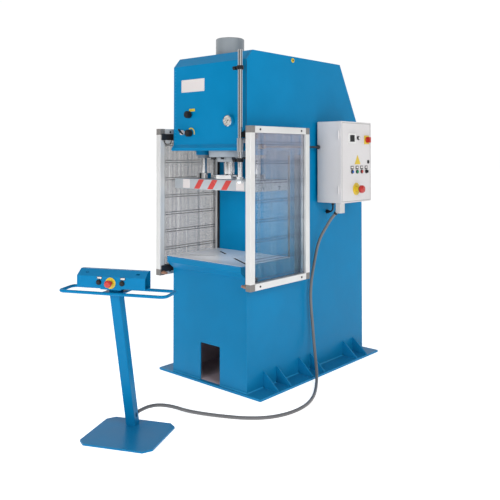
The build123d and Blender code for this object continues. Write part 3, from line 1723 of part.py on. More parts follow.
# Console housing with a hooded bay at each end
with BuildPart() as console_box:
    console_outline = [
        (console_front, console_bottom),
        (console_back, console_bottom),
        (console_back, console_top),
        (console_ridge, console_top),
        (console_front, console_crease),
    ]
    with BuildSketch(stand_side(-console_half)):
        with BuildLine():
            Polyline(*console_outline, close=True)
        make_face()
    extrude(amount=2 * console_half)
    for side in (-1, 1):
        with BuildSketch(stand_side(side * console_half)):
            with BuildLine():
                Polyline(*console_outline, close=True)
            make_face()
            offset(amount=-console_wall, mode=Mode.REPLACE)
        extrude(amount=-side * console_bay, mode=Mode.SUBTRACT)
    for x in (0, -console_button_side, console_button_side):
        with BuildSketch(stand_front(x, console_front, console_button_z if x else console_stop_z)):
            Circle(button_diameter / 2 + button_gap)
        extrude(amount=-console_hole_depth, mode=Mode.SUBTRACT)
    bay_wall = console_half - console_bay
    console_middle = (console_front + console_back) / 2
    for side in (-1, 1):
        with BuildSketch(
            Plane(
                stand.from_local_coords((side * bay_wall, console_middle, palm_z)),
                x_dir=stand.y_dir,
                z_dir=stand.x_dir * side,
            )
        ):
            Circle(button_diameter / 2 + button_gap)
        extrude(amount=-console_hole_depth, mode=Mode.SUBTRACT)
    slope_run = console_ridge - console_front
    slope_rise = console_top - console_crease
    for x in console_slots:
        slope_place = (x, console_front + slope_run / 2, console_crease + slope_rise / 2)
        slope_face = Plane(
            stand.from_local_coords(slope_place),
            x_dir=stand.x_dir,
            z_dir=stand.y_dir * -slope_rise + Vector(0, 0, slope_run),
        )
        with BuildSketch(slope_face):
            SlotOverall(console_slot_length, console_slot_width)
        extrude(amount=-2 * console_wall, mode=Mode.SUBTRACT)
save(console_box, "console_box")


# Stop button in the middle of the console
seat = stand_front(0, console_front + console_stop_reach, console_stop_z)
stem = console_stop_reach + console_stop_stand + stop_travel
console_stop = mushroom(seat, console_mushroom, console_mushroom_height, button_diameter, stem)
save(console_stop, "console_stop_button")

# Push buttons beside it
for side, word in ((-1, "left"), (1, "right")):
    with BuildPart() as console_button:
        button_back = console_front + console_button_reach
        with BuildSketch(stand_front(side * console_button_side, button_back, console_button_z)):
            Circle(button_diameter / 2)
        extrude(amount=console_button_reach + bezel_height + button_proud)
        outer_rim = console_button.edges().sort_by(Axis(stand.origin, -stand.y_dir))[-1]
        chamfer(outer_rim, length=button_edge)
    save(console_button, f"{word}_console_button")

# Palm buttons in the end bays
for side, word in ((-1, "left"), (1, "right")):
    palm_seat = Plane(
        stand.from_local_coords((side * (bay_wall - palm_reach), console_middle, palm_z)),
        x_dir=stand.y_dir,
        z_dir=stand.x_dir * side,
    )
    palm_stem = palm_reach + palm_stand + palm_travel
    save(mushroom(palm_seat, palm_diameter, palm_height, button_diameter, palm_stem), f"{word}_palm_button")


# Oil tank with its lid
tank_bottom = base_thick
tank_top = tank_bottom + tank_height
tank_middle = (tank_front + tank_back) / 2
with BuildPart() as oil_tank:
    with BuildSketch(level(tank_bottom)):
        with Locations((0, tank_middle)):
            RectangleRounded(tank_width, tank_back - tank_front, tank_corner)
    extrude(amount=tank_height)
    with BuildSketch(level(tank_bottom + tank_wall)):
        with Locations((0, tank_middle)):
            Rectangle(tank_width - 2 * tank_wall, tank_back - tank_front - 2 * tank_wall)
    extrude(amount=tank_height - 2 * tank_wall, mode=Mode.SUBTRACT)
    with BuildSketch(level(tank_top)):
        with Locations((0, motor_y)):
            Circle(pump_diameter / 2 + fit_gap)
    extrude(amount=-2 * tank_wall, mode=Mode.SUBTRACT)
save(oil_tank, "oil_tank")


# Upright finned motor on the tank lid, with the gear pump and strainer that hang from it in the tank
with BuildPart() as motor_pump_unit:
    with BuildSketch(level(tank_top)):
        with Locations((0, motor_y)):
            Circle(motor_flange / 2)
    extrude(amount=motor_flange_thick)
    shell_length = motor_length - motor_hood_length
    with BuildSketch(level(tank_top + motor_flange_thick)):
        with Locations((0, motor_y)):
            Circle(motor_diameter / 2 - motor_fin_height)
            with PolarLocations(motor_diameter / 2 - motor_fin_height, motor_fins):
                Rectangle(2 * motor_fin_height, motor_fin_thick)
    extrude(amount=shell_length)
    with BuildSketch(level(tank_top + motor_flange_thick + shell_length)):
        with Locations((0, motor_y)):
            Circle(motor_diameter / 2)
    extrude(amount=motor_hood_length, taper=motor_hood_taper)
    with BuildSketch(level(tank_top + motor_flange_thick + motor_box_rise)):
        with Locations((motor_diameter / 2, motor_y)):
            RectangleRounded(2 * motor_box_reach, motor_box_width, motor_box_corner)
    extrude(amount=motor_box_height)
    with BuildSketch(level(tank_top)):
        with Locations((0, motor_y)):
            Circle(pump_diameter / 2)
    extrude(amount=-pump_length)
    with BuildSketch(level(tank_top - pump_length)):
        with Locations((0, motor_y)):
            RectangleRounded(strainer_width, strainer_depth, strainer_corner)
    extrude(amount=-strainer_height)
save(motor_pump_unit, "motor_pump_unit")


# Valve block on the tank lid
with BuildPart() as valve_block:
    with BuildSketch(level(tank_top)):
        with Locations((block_x, block_y)):
            Rectangle(block_width, block_depth)
    extrude(amount=block_height)
    with BuildSketch(facing_side(block_x + block_width / 2)):
        with Locations(*((block_y, tank_top + rise) for rise in valve_rises)):
            RectangleRounded(valve_size, valve_size, valve_corner)
    extrude(amount=valve_length)
save(valve_block, "valve_block")


# Pressure and return pipes from the valve block to the cylinder
with BuildPart() as oil_pipes:
    for (way, depth), port in zip(pipe_ways, (upper_port, lower_port)):
        x = block_x + way * pipe_spread
        block_top = tank_top + block_height
        wall_y = pipe_wall_y + depth / 4
        with BuildLine() as pipe_path:
            FilletPolyline(
                (x, block_y + depth, block_top),
                (x, block_y + depth, block_top + pipe_rise),
                (x, wall_y, block_top + pipe_rise + pipe_lean),
                (x, wall_y, port - pipe_turn_drop),
                (0, pipe_wall_y - pipe_clear, port),
                (0, port_y, port),
                radius=pipe_bend,
            )
        with BuildSketch(Plane(pipe_path.line @ 0, z_dir=pipe_path.line % 0)):
            Circle(pipe_diameter / 2)
        sweep(path=pipe_path.wire())
save(oil_pipes, "oil_pipes")
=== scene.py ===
import math

import bmesh
import bpy
from mathutils import Matrix, Vector


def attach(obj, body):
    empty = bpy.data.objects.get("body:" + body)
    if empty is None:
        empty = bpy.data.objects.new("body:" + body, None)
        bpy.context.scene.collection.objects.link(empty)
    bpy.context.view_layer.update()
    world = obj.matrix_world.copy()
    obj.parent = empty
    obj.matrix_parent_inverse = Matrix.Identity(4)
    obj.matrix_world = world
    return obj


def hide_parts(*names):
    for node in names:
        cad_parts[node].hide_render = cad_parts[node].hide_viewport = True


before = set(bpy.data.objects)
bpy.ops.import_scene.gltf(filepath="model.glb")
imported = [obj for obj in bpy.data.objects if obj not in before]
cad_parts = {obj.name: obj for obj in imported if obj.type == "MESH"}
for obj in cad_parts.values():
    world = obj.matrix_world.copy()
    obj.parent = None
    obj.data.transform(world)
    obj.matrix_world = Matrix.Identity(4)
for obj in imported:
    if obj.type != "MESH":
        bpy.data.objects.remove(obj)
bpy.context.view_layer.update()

# Sizes and places shared with the solids, in metres. Pairs are X or Y, then Z, on their face.
PANEL_FRONT = -0.710
HALF_WIDTH = 0.361
INNER_HALF = 0.339
BODY_BACK = 0.705
BASE_TOP = 0.015
GUSSETS = [pair + way * 0.070 for pair in (-0.4705, -0.077, 0.4935) for way in (-1, 1)]
GUSSET_HALF = 0.005
OPENING_LEFT = -0.078
OPENING_RIGHT = 0.112
HEAD_LOW = 1.665
HEAD_HIGH = 2.225
TABLE_TOP = 0.860
THROAT_TOP = 1.590
THROAT_BACK = -0.245
PLATEN_FRONT = -0.660
PLATEN_BOTTOM = 1.344
PLATEN_TOP = 1.417
CABINET_BOTTOM = 1.237
DOOR_FACE = 0.596
DOOR_FRONT_EDGE = 0.055
DOOR_BACK_EDGE = 0.463
DOOR_LOW = CABINET_BOTTOM
DOOR_HIGH = 1.837
BUTTON_ROW = 1.465
BUTTON_PLACES = (0.198, 0.266, 0.329, 0.393)
METER = (0.1945, 1.713)
GUARD_OUTER = 0.464
GUARD_INNER = 0.419
GUARD_FRONT = -0.790
GUARD_BACK = -0.150
GUARD_BOTTOM = 0.709
GUARD_TOP = 1.782
PROFILE = 0.045
FIRST_LINE = 1.541
LINE_PITCH = 0.1285
LINE_GAP = 0.017
LINE_HEIGHT = 0.003
GAUGE_CENTRE = (0.211, 1.822)
FLOW_KNOB = (-0.178, 1.746)
STAND = Matrix.Translation((0.165, -1.499, 0.0)) @ Matrix.Rotation(math.radians(25.37), 4, "Z")
CONSOLE_FRONT = -0.285
CONSOLE_BUTTON = 0.071


# Shader nodes. Where these take a value, it may be a constant or a socket.
def add_node(tree, kind, **settings):
    node = tree.nodes.new(kind)
    for name, value in settings.items():
        if hasattr(node, name):
            setattr(node, name, value)
        else:
            node.inputs[name].default_value = value
    return node


def feed(tree, value, socket):
    if isinstance(value, bpy.types.NodeSocket):
        tree.links.new(value, socket)
    else:
        socket.default_value = value


def calculate(tree, operation, *values, clamp=False):
    node = add_node(tree, "ShaderNodeMath", operation=operation, use_clamp=clamp)
    for value, socket in zip(values, node.inputs):
        feed(tree, value, socket)
    return node.outputs[0]


def on_vectors(tree, operation, *values):
    node = add_node(tree, "ShaderNodeVectorMath", operation=operation)
    for value, socket in zip(values, node.inputs):
        feed(tree, value, socket)
    return node.outputs["Value" if operation == "LENGTH" else "Vector"]


def graded(tree, value, from_min=0.0, from_max=1.0, to_min=0.0, to_max=1.0, curve="LINEAR"):
    """The value taken from one range to another and held at its ends."""
    node = add_node(tree, "ShaderNodeMapRange", interpolation_type=curve)
    ends = {"From Min": from_min, "From Max": from_max, "To Min": to_min, "To Max": to_max}
    for name, given in {"Value": value, **ends}.items():
        feed(tree, given, node.inputs[name])
    return node.outputs["Result"]


def coordinates(tree, kind):
    return tree.nodes.new("ShaderNodeTexCoord").outputs[kind]


def axes_of(tree, vector):
    """X, Y and Z of a vector."""
    parts = tree.nodes.new("ShaderNodeSeparateXYZ")
    tree.links.new(vector, parts.inputs[0])
    return parts.outputs


def blend_colour(tree, mask, below, above):
    """Colour that goes from below to above where the mask is 1."""
    mix = tree.nodes.new("ShaderNodeMix")
    mix.data_type = "RGBA"
    tree.links.new(mask, mix.inputs["Factor"])
    for place, colour in ((6, below), (7, above)):
        feed(tree, (*colour, 1.0) if isinstance(colour, tuple) else colour, mix.inputs[place])
    return mix.outputs[2]


def blend_value(tree, mask, below, above):
    """Value that goes from below to above where the mask is 1."""
    mix = tree.nodes.new("ShaderNodeMix")
    tree.links.new(mask, mix.inputs["Factor"])
    feed(tree, below, mix.inputs["A"])
    feed(tree, above, mix.inputs["B"])
    return mix.outputs["Result"]


# Node groups that several finishes share
def new_group(name, inputs, outputs):
    group = bpy.data.node_groups.new(name, "ShaderNodeTree")
    for label, kind, value in inputs:
        socket = group.interface.new_socket(name=label, in_out="INPUT", socket_type=kind)
        socket.default_value = value
    for label, kind in outputs:
        group.interface.new_socket(name=label, in_out="OUTPUT", socket_type=kind)
    return group, group.nodes.new("NodeGroupInput").outputs, group.nodes.new("NodeGroupOutput").inputs


def object_noise(group, scale, detail, stretch=None):
    """Noise on Object coordinates; stretch scales the pattern along X, Y and Z."""
    place = coordinates(group, "Object")
    if stretch is not None:
        place = on_vectors(group, "MULTIPLY", place, stretch)
    noise = add_node(group, "ShaderNodeTexNoise", Detail=detail, Roughness=0.55)
    feed(group, place, noise.inputs["Vector"])
    feed(group, scale, noise.inputs["Scale"])
    return noise.outputs[0]


def make_grain():
    """Fine surface height: orange peel, casting skin or brushed lines, by its scale and stretch."""
    group, given, result = new_group(
        "surface_grain",
        [("Scale", "NodeSocketFloat", 300.0), ("Stretch", "NodeSocketVector", (1.0, 1.0, 1.0))],
        [("Height", "NodeSocketFloat")],
    )
    feed(group, object_noise(group, given["Scale"], detail=3.0, stretch=given["Stretch"]), result["Height"])
    return group


def make_patches():
    """Slow variation over the surface, from 0 to 1, for tone and gloss."""
    group, given, result = new_group(
        "slow_patches", [("Scale", "NodeSocketFloat", 3.0)], [("Value", "NodeSocketFloat")]
    )
    clouds = object_noise(group, given["Scale"], detail=2.0)
    feed(group, graded(group, clouds, from_min=0.3, from_max=0.7), result["Value"])
    return group


def make_scuffs():
    """Mask of short scuffs and small chips; Amount sets how much of the surface they take."""
    group, given, result = new_group(
        "handling_scuffs",
        [("Scale", "NodeSocketFloat", 40.0), ("Amount", "NodeSocketFloat", 0.3),
         ("Stretch", "NodeSocketVector", (1.0, 1.0, 6.0))],
        [("Mask", "NodeSocketFloat")],
    )
    marks = object_noise(group, given["Scale"], detail=6.0, stretch=given["Stretch"])
    threshold = graded(group, given["Amount"], to_min=0.78, to_max=0.52)
    over = calculate(group, "SUBTRACT", marks, threshold)
    feed(group, calculate(group, "MULTIPLY", over, 14.0, clamp=True), result["Mask"])
    return group


def make_dust():
    """Mask of settled dust: strongest on faces that look up and near the floor."""
    group, given, result = new_group(
        "settled_dust",
        [("Amount", "NodeSocketFloat", 0.3), ("Floor Height", "NodeSocketFloat", 0.25)],
        [("Mask", "NodeSocketFloat")],
    )
    normal = group.nodes.new("ShaderNodeNewGeometry").outputs["Normal"]
    up = graded(group, axes_of(group, normal)["Z"], from_min=0.5)
    height = axes_of(group, coordinates(group, "Object"))["Z"]
    low = graded(group, height, from_max=given["Floor Height"], to_min=0.6, to_max=0.0)
    clouds = object_noise(group, scale=25.0, detail=5.0)
    clouded = calculate(group, "MULTIPLY", calculate(group, "MAXIMUM", up, low), clouds)
    feed(group, calculate(group, "MULTIPLY", clouded, given["Amount"], clamp=True), result["Mask"])
    return group


def make_region():
    """Mask that is 1 inside a box or, where Round is 1, inside a round or oval place on a face."""
    group, given, result = new_group(
        "marked_region",
        [("Centre", "NodeSocketVector", (0.0, 0.0, 0.0)), ("Half Size", "NodeSocketVector", (1.0, 1.0, 1.0)),
         ("Round", "NodeSocketFloat", 0.0)],
        [("Mask", "NodeSocketFloat")],
    )
    away = on_vectors(group, "SUBTRACT", coordinates(group, "Object"), given["Centre"])
    share = on_vectors(group, "DIVIDE", away, given["Half Size"])
    size = axes_of(group, on_vectors(group, "ABSOLUTE", share))
    widest = calculate(group, "MAXIMUM", calculate(group, "MAXIMUM", size["X"], size["Y"]), size["Z"])
    distance = blend_value(group, given["Round"], widest, on_vectors(group, "LENGTH", share))
    feed(group, calculate(group, "LESS_THAN", distance, 1.0), result["Mask"])
    return group


GRAIN = make_grain()
PATCHES = make_patches()
SCUFFS = make_scuffs()
DUST = make_dust()
REGION = make_region()


def place_group(tree, group, **values):
    node = tree.nodes.new("ShaderNodeGroup")
    node.node_tree = group
    for name, value in values.items():
        node.inputs[name.replace("_", " ")].default_value = value
    return node.outputs[0]


def new_material(name):
    """Material with its node tree and the inputs of its shader."""
    material = bpy.data.materials.new(name)
    material.use_nodes = True
    return material, material.node_tree, material.node_tree.nodes["Principled BSDF"].inputs


def add_relief(tree, surface, height, strength, distance):
    relief = add_node(tree, "ShaderNodeBump", Strength=strength, Distance=distance)
    tree.links.new(height, relief.inputs["Height"])
    tree.links.new(relief.outputs["Normal"], surface["Normal"])


COAT_ROUGHNESS = 0.12
GLOSS_SPREAD = 0.12
SCUFFED_ROUGHER = 0.2
DUST_COLOUR = (0.45, 0.43, 0.4)
DUST_ROUGHNESS = 0.85


def finish(
    name,
    colour,
    roughness=0.4,
    metallic=0.0,
    tone=0.08,
    grain=300.0,
    stretch=(1.0, 1.0, 1.0),
    bump=0.05,
    depth=0.001,
    scuffs=0.0,
    scuff_colour=None,
    dust=0.0,
    coat=0.0,
    regions=(),
    **shader,
):
    """Procedural finish of one material: tone and gloss variation, grain, scuffs, dust and marked regions."""
    material, tree, surface = new_material(name)
    surface["Metallic"].default_value = metallic
    surface["Coat Weight"].default_value = coat
    surface["Coat Roughness"].default_value = COAT_ROUGHNESS
    for key, value in shader.items():
        surface[key.replace("_", " ")].default_value = value
    patches = place_group(tree, PATCHES, Scale=4.0)
    darker = tuple(channel * (1 - tone) for channel in colour)
    lighter = tuple(min(1.0, channel * (1 + tone)) for channel in colour)
    base = blend_colour(tree, patches, darker, lighter)
    gloss = blend_value(tree, patches, roughness * (1 - GLOSS_SPREAD), min(1.0, roughness * (1 + GLOSS_SPREAD)))
    for centre, half, round_place, patch_colour in regions:
        mask = place_group(tree, REGION, Centre=centre, Half_Size=half, Round=round_place)
        base = blend_colour(tree, mask, base, patch_colour)
    if scuffs:
        mask = place_group(tree, SCUFFS, Amount=scuffs)
        worn = scuff_colour or tuple(min(1.0, channel * 0.6 + 0.12) for channel in colour)
        base = blend_colour(tree, mask, base, worn)
        gloss = blend_value(tree, mask, gloss, min(1.0, roughness + SCUFFED_ROUGHER))
    if dust:
        mask = place_group(tree, DUST, Amount=dust)
        base = blend_colour(tree, mask, base, DUST_COLOUR)
        gloss = blend_value(tree, mask, gloss, DUST_ROUGHNESS)
    tree.links.new(base, surface["Base Color"])
    tree.links.new(gloss, surface["Roughness"])
    add_relief(tree, surface, place_group(tree, GRAIN, Scale=grain, Stretch=stretch), bump, depth)
    return material


def dress(material, *nodes):
    """Gives CAD nodes their finish."""
    for node in nodes:
        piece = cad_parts[node]
        if not piece.data.materials:
            piece.data.materials.append(material)
        for place in piece.material_slots:
            place.material = material


# Marked regions of a finish: centre, half size, 0 for a box or 1 for a round place, colour
YELLOW = (0.6, 0.43, 0.025)
TABLE_EDGE = 0.8588
PRIMED_INSIDE = ((0.0, 0.0, 0.415), (0.345, 0.7015, 0.4005), 0.0, (0.62, 0.51, 0.57))
PAINTED_FLANKS = ((0.0, -0.45, 0.42), (1.0, 1.0, TABLE_EDGE - 0.42), 0.0, (0.0, 0.165, 0.36))
# Insides of the table's T-slots near black: painted shade in the recesses
SLOT_PAINTED_SHADE = ((0.0, -0.460, 0.82), (0.352, 0.25, TABLE_EDGE - 0.82), 0.0, (0.02, 0.018, 0.018))
SWITCH_PLATE = ((DOOR_FACE, 0.4, 1.705), (0.006, 0.04, 0.04), 0.0, YELLOW)
STOP_DISC = ((DOOR_FACE, 0.254, 1.336), (0.036, 0.047, 0.047), 1.0, YELLOW)
METER_FRAME = ((DOOR_FACE, *METER), (0.02, 0.05, 0.04), 0.0, (0.66, 0.66, 0.65))

press_blue = finish(
    "press_blue_enamel", (0.0, 0.183, 0.39), roughness=0.36, tone=0.05, grain=900.0, bump=0.08, depth=0.0006,
    scuffs=0.12, scuff_colour=(0.004, 0.212, 0.435), dust=0.05, coat=0.02, Specular_IOR_Level=0.1,
    regions=[PRIMED_INSIDE],
)
# The stand's blue is the press's blue made darker: painted shade
shaded_stand_blue = finish(
    "stand_blue_enamel", (0.0, 0.16, 0.355), roughness=0.34, tone=0.05, grain=900.0, bump=0.08, depth=0.0006,
    scuffs=0.15, scuff_colour=(0.008, 0.21, 0.44), dust=0.03, coat=0.02, Specular_IOR_Level=0.1,
)
grey_enamel = finish(
    "grey_machine_enamel", (0.215, 0.24, 0.26), roughness=0.38, tone=0.08, grain=700.0, bump=0.1, depth=0.0006,
    scuffs=0.25, scuff_colour=(0.38, 0.4, 0.42), dust=0.15, coat=0.15,
)
pale_enamel = finish(
    "pale_grey_machine_enamel", (0.36, 0.39, 0.42), roughness=0.36, tone=0.06, grain=700.0, bump=0.1, depth=0.0006,
    scuffs=0.3, scuff_colour=(0.5, 0.52, 0.54), coat=0.15,
)
ground_steel = finish(
    "ground_table_steel", (0.88, 0.87, 0.88), roughness=0.24, metallic=0.15, tone=0.05, grain=60.0,
    stretch=(1.0, 40.0, 1.0), bump=0.12, depth=0.0003, scuffs=0.3, scuff_colour=(0.55, 0.54, 0.53),
    regions=[PAINTED_FLANKS, SLOT_PAINTED_SHADE],
)
turned_steel = finish(
    "turned_steel", (0.55, 0.56, 0.58), roughness=0.3, metallic=1.0, tone=0.08, grain=60.0,
    stretch=(1.0, 1.0, 30.0), bump=0.2, depth=0.0003,
)
hard_chrome = finish(
    "hard_chrome_bar", (0.86, 0.86, 0.87), roughness=0.09, metallic=1.0, tone=0.03, grain=90.0,
    stretch=(1.0, 1.0, 0.05), bump=0.05, depth=0.0002,
)
chrome_trim = finish(
    "polished_chrome_trim", (0.84, 0.83, 0.82), roughness=0.12, metallic=1.0, tone=0.03, bump=0.02,
)
blackened_steel = finish(
    "blackened_screw_steel", (0.045, 0.045, 0.05), roughness=0.42, metallic=0.7, tone=0.15, grain=500.0, bump=0.1,
)
black_plastic = finish(
    "black_moulded_plastic", (0.011, 0.011, 0.013), roughness=0.42, tone=0.12, grain=1400.0, bump=0.18, depth=0.0004,
    scuffs=0.1, scuff_colour=(0.045, 0.045, 0.045), Specular_IOR_Level=0.3,
)
black_enamel = finish(
    "black_satin_enamel", (0.02, 0.02, 0.023), roughness=0.4, tone=0.12, grain=900.0, bump=0.1, depth=0.0005,
    scuffs=0.2, scuff_colour=(0.08, 0.08, 0.08),
)
white_aluminium = finish(
    "natural_anodised_aluminium", (0.66, 0.66, 0.655), roughness=0.34, metallic=0.25, tone=0.04, grain=50.0,
    stretch=(30.0, 30.0, 1.0), bump=0.06, depth=0.0003, scuffs=0.12, scuff_colour=(0.58, 0.58, 0.575),
)
grey_plastic = finish(
    "taupe_corner_plastic", (0.185, 0.175, 0.168), roughness=0.55, tone=0.1, grain=1300.0, bump=0.25, depth=0.0004,
)
bronze = finish(
    "machined_bronze", (0.62, 0.46, 0.25), roughness=0.34, metallic=1.0, tone=0.12, grain=300.0, bump=0.08,
)
# Grey for the door's fold line: painted shade
fold_shade_grey = finish("seam_shadow_grey", (0.22, 0.22, 0.225), roughness=0.6, tone=0.1, bump=0.03)
# Near black for the gap at the head's right edge: painted shade
gap_shade_black = finish("head_gap_painted_shade", (0.012, 0.02, 0.03), roughness=0.6, tone=0.1, bump=0.05)
# Lighter blue than the enamel for the weld beads: a painted highlight
weld_highlight_blue = finish(
    "painted_weld_blue", (0.02, 0.26, 0.5), roughness=0.4, tone=0.15, grain=160.0, bump=0.5, depth=0.0012,
    Specular_IOR_Level=0.15,
)
copper_brown = finish(
    "copper_brown_catch", (0.27, 0.14, 0.09), roughness=0.4, tone=0.12, grain=600.0, bump=0.1, scuffs=0.2,
)
cabinet_grey = finish(
    "cabinet_powder_coat", (0.59, 0.575, 0.58), roughness=0.45, tone=0.03, grain=1100.0, bump=0.22, depth=0.0005,
    dust=0.1,
)
green_plastic = finish("green_button_plastic", (0.01, 0.22, 0.09), roughness=0.25, tone=0.05, bump=0.02)
red_plastic = finish("red_button_plastic", (0.42, 0.02, 0.015), roughness=0.28, tone=0.06, bump=0.02, coat=0.3)
gear_plastic = finish("contactor_plastic", (0.2, 0.21, 0.22), roughness=0.5, tone=0.15, grain=300.0, bump=0.1)
motor_paint = finish("motor_casting_paint", (0.1, 0.14, 0.18), roughness=0.5, tone=0.12, grain=350.0, bump=0.3)
pipe_steel = finish("zinc_plated_pipe", (0.5, 0.5, 0.47), roughness=0.3, metallic=1.0, tone=0.12, bump=0.03)
conduit_grey = finish(
    "grey_conduit_sheath", (0.13, 0.13, 0.135), roughness=0.36, tone=0.1, grain=500.0, bump=0.08, scuffs=0.2,
)
signal_yellow = finish("yellow_plate_enamel", YELLOW, roughness=0.35, tone=0.04, bump=0.03)
signal_red = finish("red_stripe_film", (0.47, 0.04, 0.035), roughness=0.3, tone=0.04, bump=0.03)
label_white = finish("white_label_film", (0.63, 0.59, 0.585), roughness=0.32, tone=0.03, bump=0.03)
dial_white = finish("gauge_dial_white", (0.74, 0.72, 0.68), roughness=0.5, tone=0.02, bump=0.01)
lamp_blue = finish("blue_lamp_lens", (0.03, 0.12, 0.45), roughness=0.15, tone=0.03, bump=0.02, coat=0.5)
window_glass = finish(
    "gauge_window_glass", (0.92, 0.92, 0.92), roughness=0.03, tone=0.02, bump=0.01, Transmission_Weight=1.0, IOR=1.2,
)
screen_black = finish(
    "meter_window_black", (0.006, 0.006, 0.008), roughness=0.12, tone=0.05, bump=0.02, Specular_IOR_Level=0.2,
)
door_plastic = finish(
    "door_fitting_plastic", (0.02, 0.02, 0.022), roughness=0.38, tone=0.1, grain=1200.0, bump=0.12, depth=0.0004,
    regions=[SWITCH_PLATE, STOP_DISC, METER_FRAME],
)
outlet_paint = finish(
    "outlet_box_paint", (0.5, 0.5, 0.5), roughness=0.45, tone=0.05, grain=900.0, bump=0.15, depth=0.0005,
)


def multiwall_sheet(name, tones, covers, streak, web_tone, web_cover, line_tone, line_cover):
    """Clear multiwall sheet: skins streaked and hazed from bottom to top, denser webs, darker lines."""
    material, tree, surface = new_material(name)
    surface["Roughness"].default_value = 0.14
    surface["IOR"].default_value = 1.3
    height = axes_of(tree, coordinates(tree, "Object"))["Z"]
    in_pitch = calculate(
        tree, "WRAP", calculate(tree, "SUBTRACT", height, FIRST_LINE - LINE_PITCH / 2), LINE_PITCH, 0.0
    )
    from_pair = calculate(tree, "ABSOLUTE", calculate(tree, "SUBTRACT", in_pitch, LINE_PITCH / 2))
    line = calculate(tree, "COMPARE", from_pair, LINE_GAP / 2, LINE_HEIGHT / 2 + 0.0003)
    side_on = calculate(tree, "ABSOLUTE", axes_of(tree, coordinates(tree, "Normal"))["Y"])
    web = calculate(tree, "GREATER_THAN", side_on, 0.7)
    fine_streaks = place_group(tree, GRAIN, Scale=52.0, Stretch=(1.0, 1.0, 0.01))
    streaks = graded(tree, fine_streaks, from_min=0.35, from_max=0.65)
    rise = graded(tree, height, GUARD_BOTTOM + PROFILE, GUARD_TOP - PROFILE)
    low_tone, high_tone = (
        blend_colour(tree, streaks, tuple(channel * (1 - streak / 2) for channel in tone), tone) for tone in tones
    )
    skins = blend_colour(tree, rise, low_tone, high_tone)
    walls = blend_colour(tree, web, skins, web_tone)
    tree.links.new(blend_colour(tree, line, walls, line_tone), surface["Base Color"])
    low_cover, high_cover = (
        blend_value(tree, streaks, cover * (1 + streak), cover * (1 - streak)) for cover in covers
    )
    skins = blend_value(tree, rise, low_cover, high_cover)
    walls = blend_value(tree, web, skins, web_cover)
    tree.links.new(blend_value(tree, line, walls, line_cover), surface["Alpha"])
    add_relief(tree, surface, streaks, strength=0.15, distance=0.0005)
    return material


clear_sheet = multiwall_sheet(
    "clear_multiwall_sheet", tones=((0.36, 0.8, 1.0), (0.95, 0.9, 0.98)), covers=(0.03, 0.115), streak=0.85,
    web_tone=(0.25, 0.3, 0.45), web_cover=0.25, line_tone=(0.12, 0.13, 0.2), line_cover=0.26,
)
smoky_sheet = multiwall_sheet(
    "grey_multiwall_sheet", tones=((0.38, 0.38, 0.41), (0.44, 0.43, 0.42)), covers=(0.27, 0.25), streak=0.22,
    web_tone=(0.12, 0.12, 0.14), web_cover=0.4, line_tone=(0.04, 0.04, 0.05), line_cover=0.75,
)

dress(press_blue, "base_plate", "left_side_plate", "right_side_plate", "front_panel", "throat_back_plate",
      "head_bottom_plate", "head_cover", "rear_cover")
dress(shaded_stand_blue, "control_stand", "hand_rail", "console_box")
dress(grey_enamel, "cylinder_barrel", "guide_bushes", "oil_tank")
dress(pale_enamel, "cylinder_flange", "platen", "trip_rod_bracket")
dress(ground_steel, "table_plate", "table_plug")
dress(turned_steel, "trip_rod_guide", "valve_block")
dress(hard_chrome, "ram", "guide_columns", "trip_rod")
dress(chrome_trim, "gauge_case")
dress(blackened_steel, "flange_bolts")
dress(black_plastic, "stop_collars", "limit_switch", "gauge_needle", "pressure_knob", "flow_knob",
      "selector_switch", "door_lock", "left_console_button", "right_console_button", "left_palm_button",
      "right_palm_button")
dress(black_enamel, "hinge_strips", "guard_stops", "hand_lever")
dress(white_aluminium, "left_guard_frame", "right_guard_frame")
dress(grey_plastic, "left_guard_corners", "right_guard_corners")
dress(clear_sheet, "right_guard_panel")
dress(smoky_sheet, "left_guard_panel")
dress(bronze, "lever_bracket")
dress(cabinet_grey, "cabinet_box", "cabinet_door")
dress(outlet_paint, "cable_outlet")
dress(door_plastic, "door_fittings")
dress(green_plastic, "green_button")
dress(red_plastic, "red_button", "main_switch", "door_stop_button", "console_stop_button")
dress(gear_plastic, "control_gear")
dress(motor_paint, "motor_pump_unit")
dress(pipe_steel, "oil_pipes")


# New pieces
def settle(mesh, name, body, material, smooth=None):
    """Writes the bmesh to a piece at the origin, gives it its finish and lets it ride on its body."""
    bmesh.ops.remove_doubles(mesh, verts=mesh.verts, dist=0.00001)
    bmesh.ops.recalc_face_normals(mesh, faces=mesh.faces)
    data = bpy.data.meshes.new(name)
    mesh.to_mesh(data)
    mesh.free()
    data.materials.append(material)
    piece = bpy.data.objects.new(name, data)
    bpy.context.scene.collection.objects.link(piece)
    if smooth is not None:
        data.shade_smooth()
        data.set_sharp_from_angle(angle=math.radians(smooth))
    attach(piece, body)


# Places where a piece is set. Its local Z stands out from the face.
UPRIGHT = Matrix.Rotation(math.radians(90), 4, "X")


def facing_front(x, y, z):
    """Place on a face that looks to the operator: local X to the right, local Y up."""
    return Matrix.Translation((x, y, z)) @ UPRIGHT


def facing_right(x, y, z):
    """Place on a face that looks to +X: local X to the back, local Y up."""
    return Matrix.Translation((x, y, z)) @ Matrix.Rotation(math.radians(90), 4, "Z") @ UPRIGHT


def facing_down(x, y, z):
    return Matrix.Translation((x, y, z)) @ Matrix.Rotation(math.pi, 4, "X")


def stand_front(across, deep, height):
    """Place on the stand that looks to the operator: across to the right, deep from the post, height up."""
    return STAND @ facing_front(across, deep, height)


def pointing(start, way):
    """Place whose local Z points the given way."""
    return Matrix.Translation(start) @ way.to_track_quat("Z", "Y").to_matrix().to_4x4()


# Shapes, drawn round the origin and then moved to their place
def points_of(made):
    """The vertices among what an operator made."""
    return [part for part in made if isinstance(part, bmesh.types.BMVert)]


def edges_of(made):
    return [part for part in made if isinstance(part, bmesh.types.BMEdge)]


def faces_at(verts):
    return list({face for vert in verts for face in vert.link_faces})


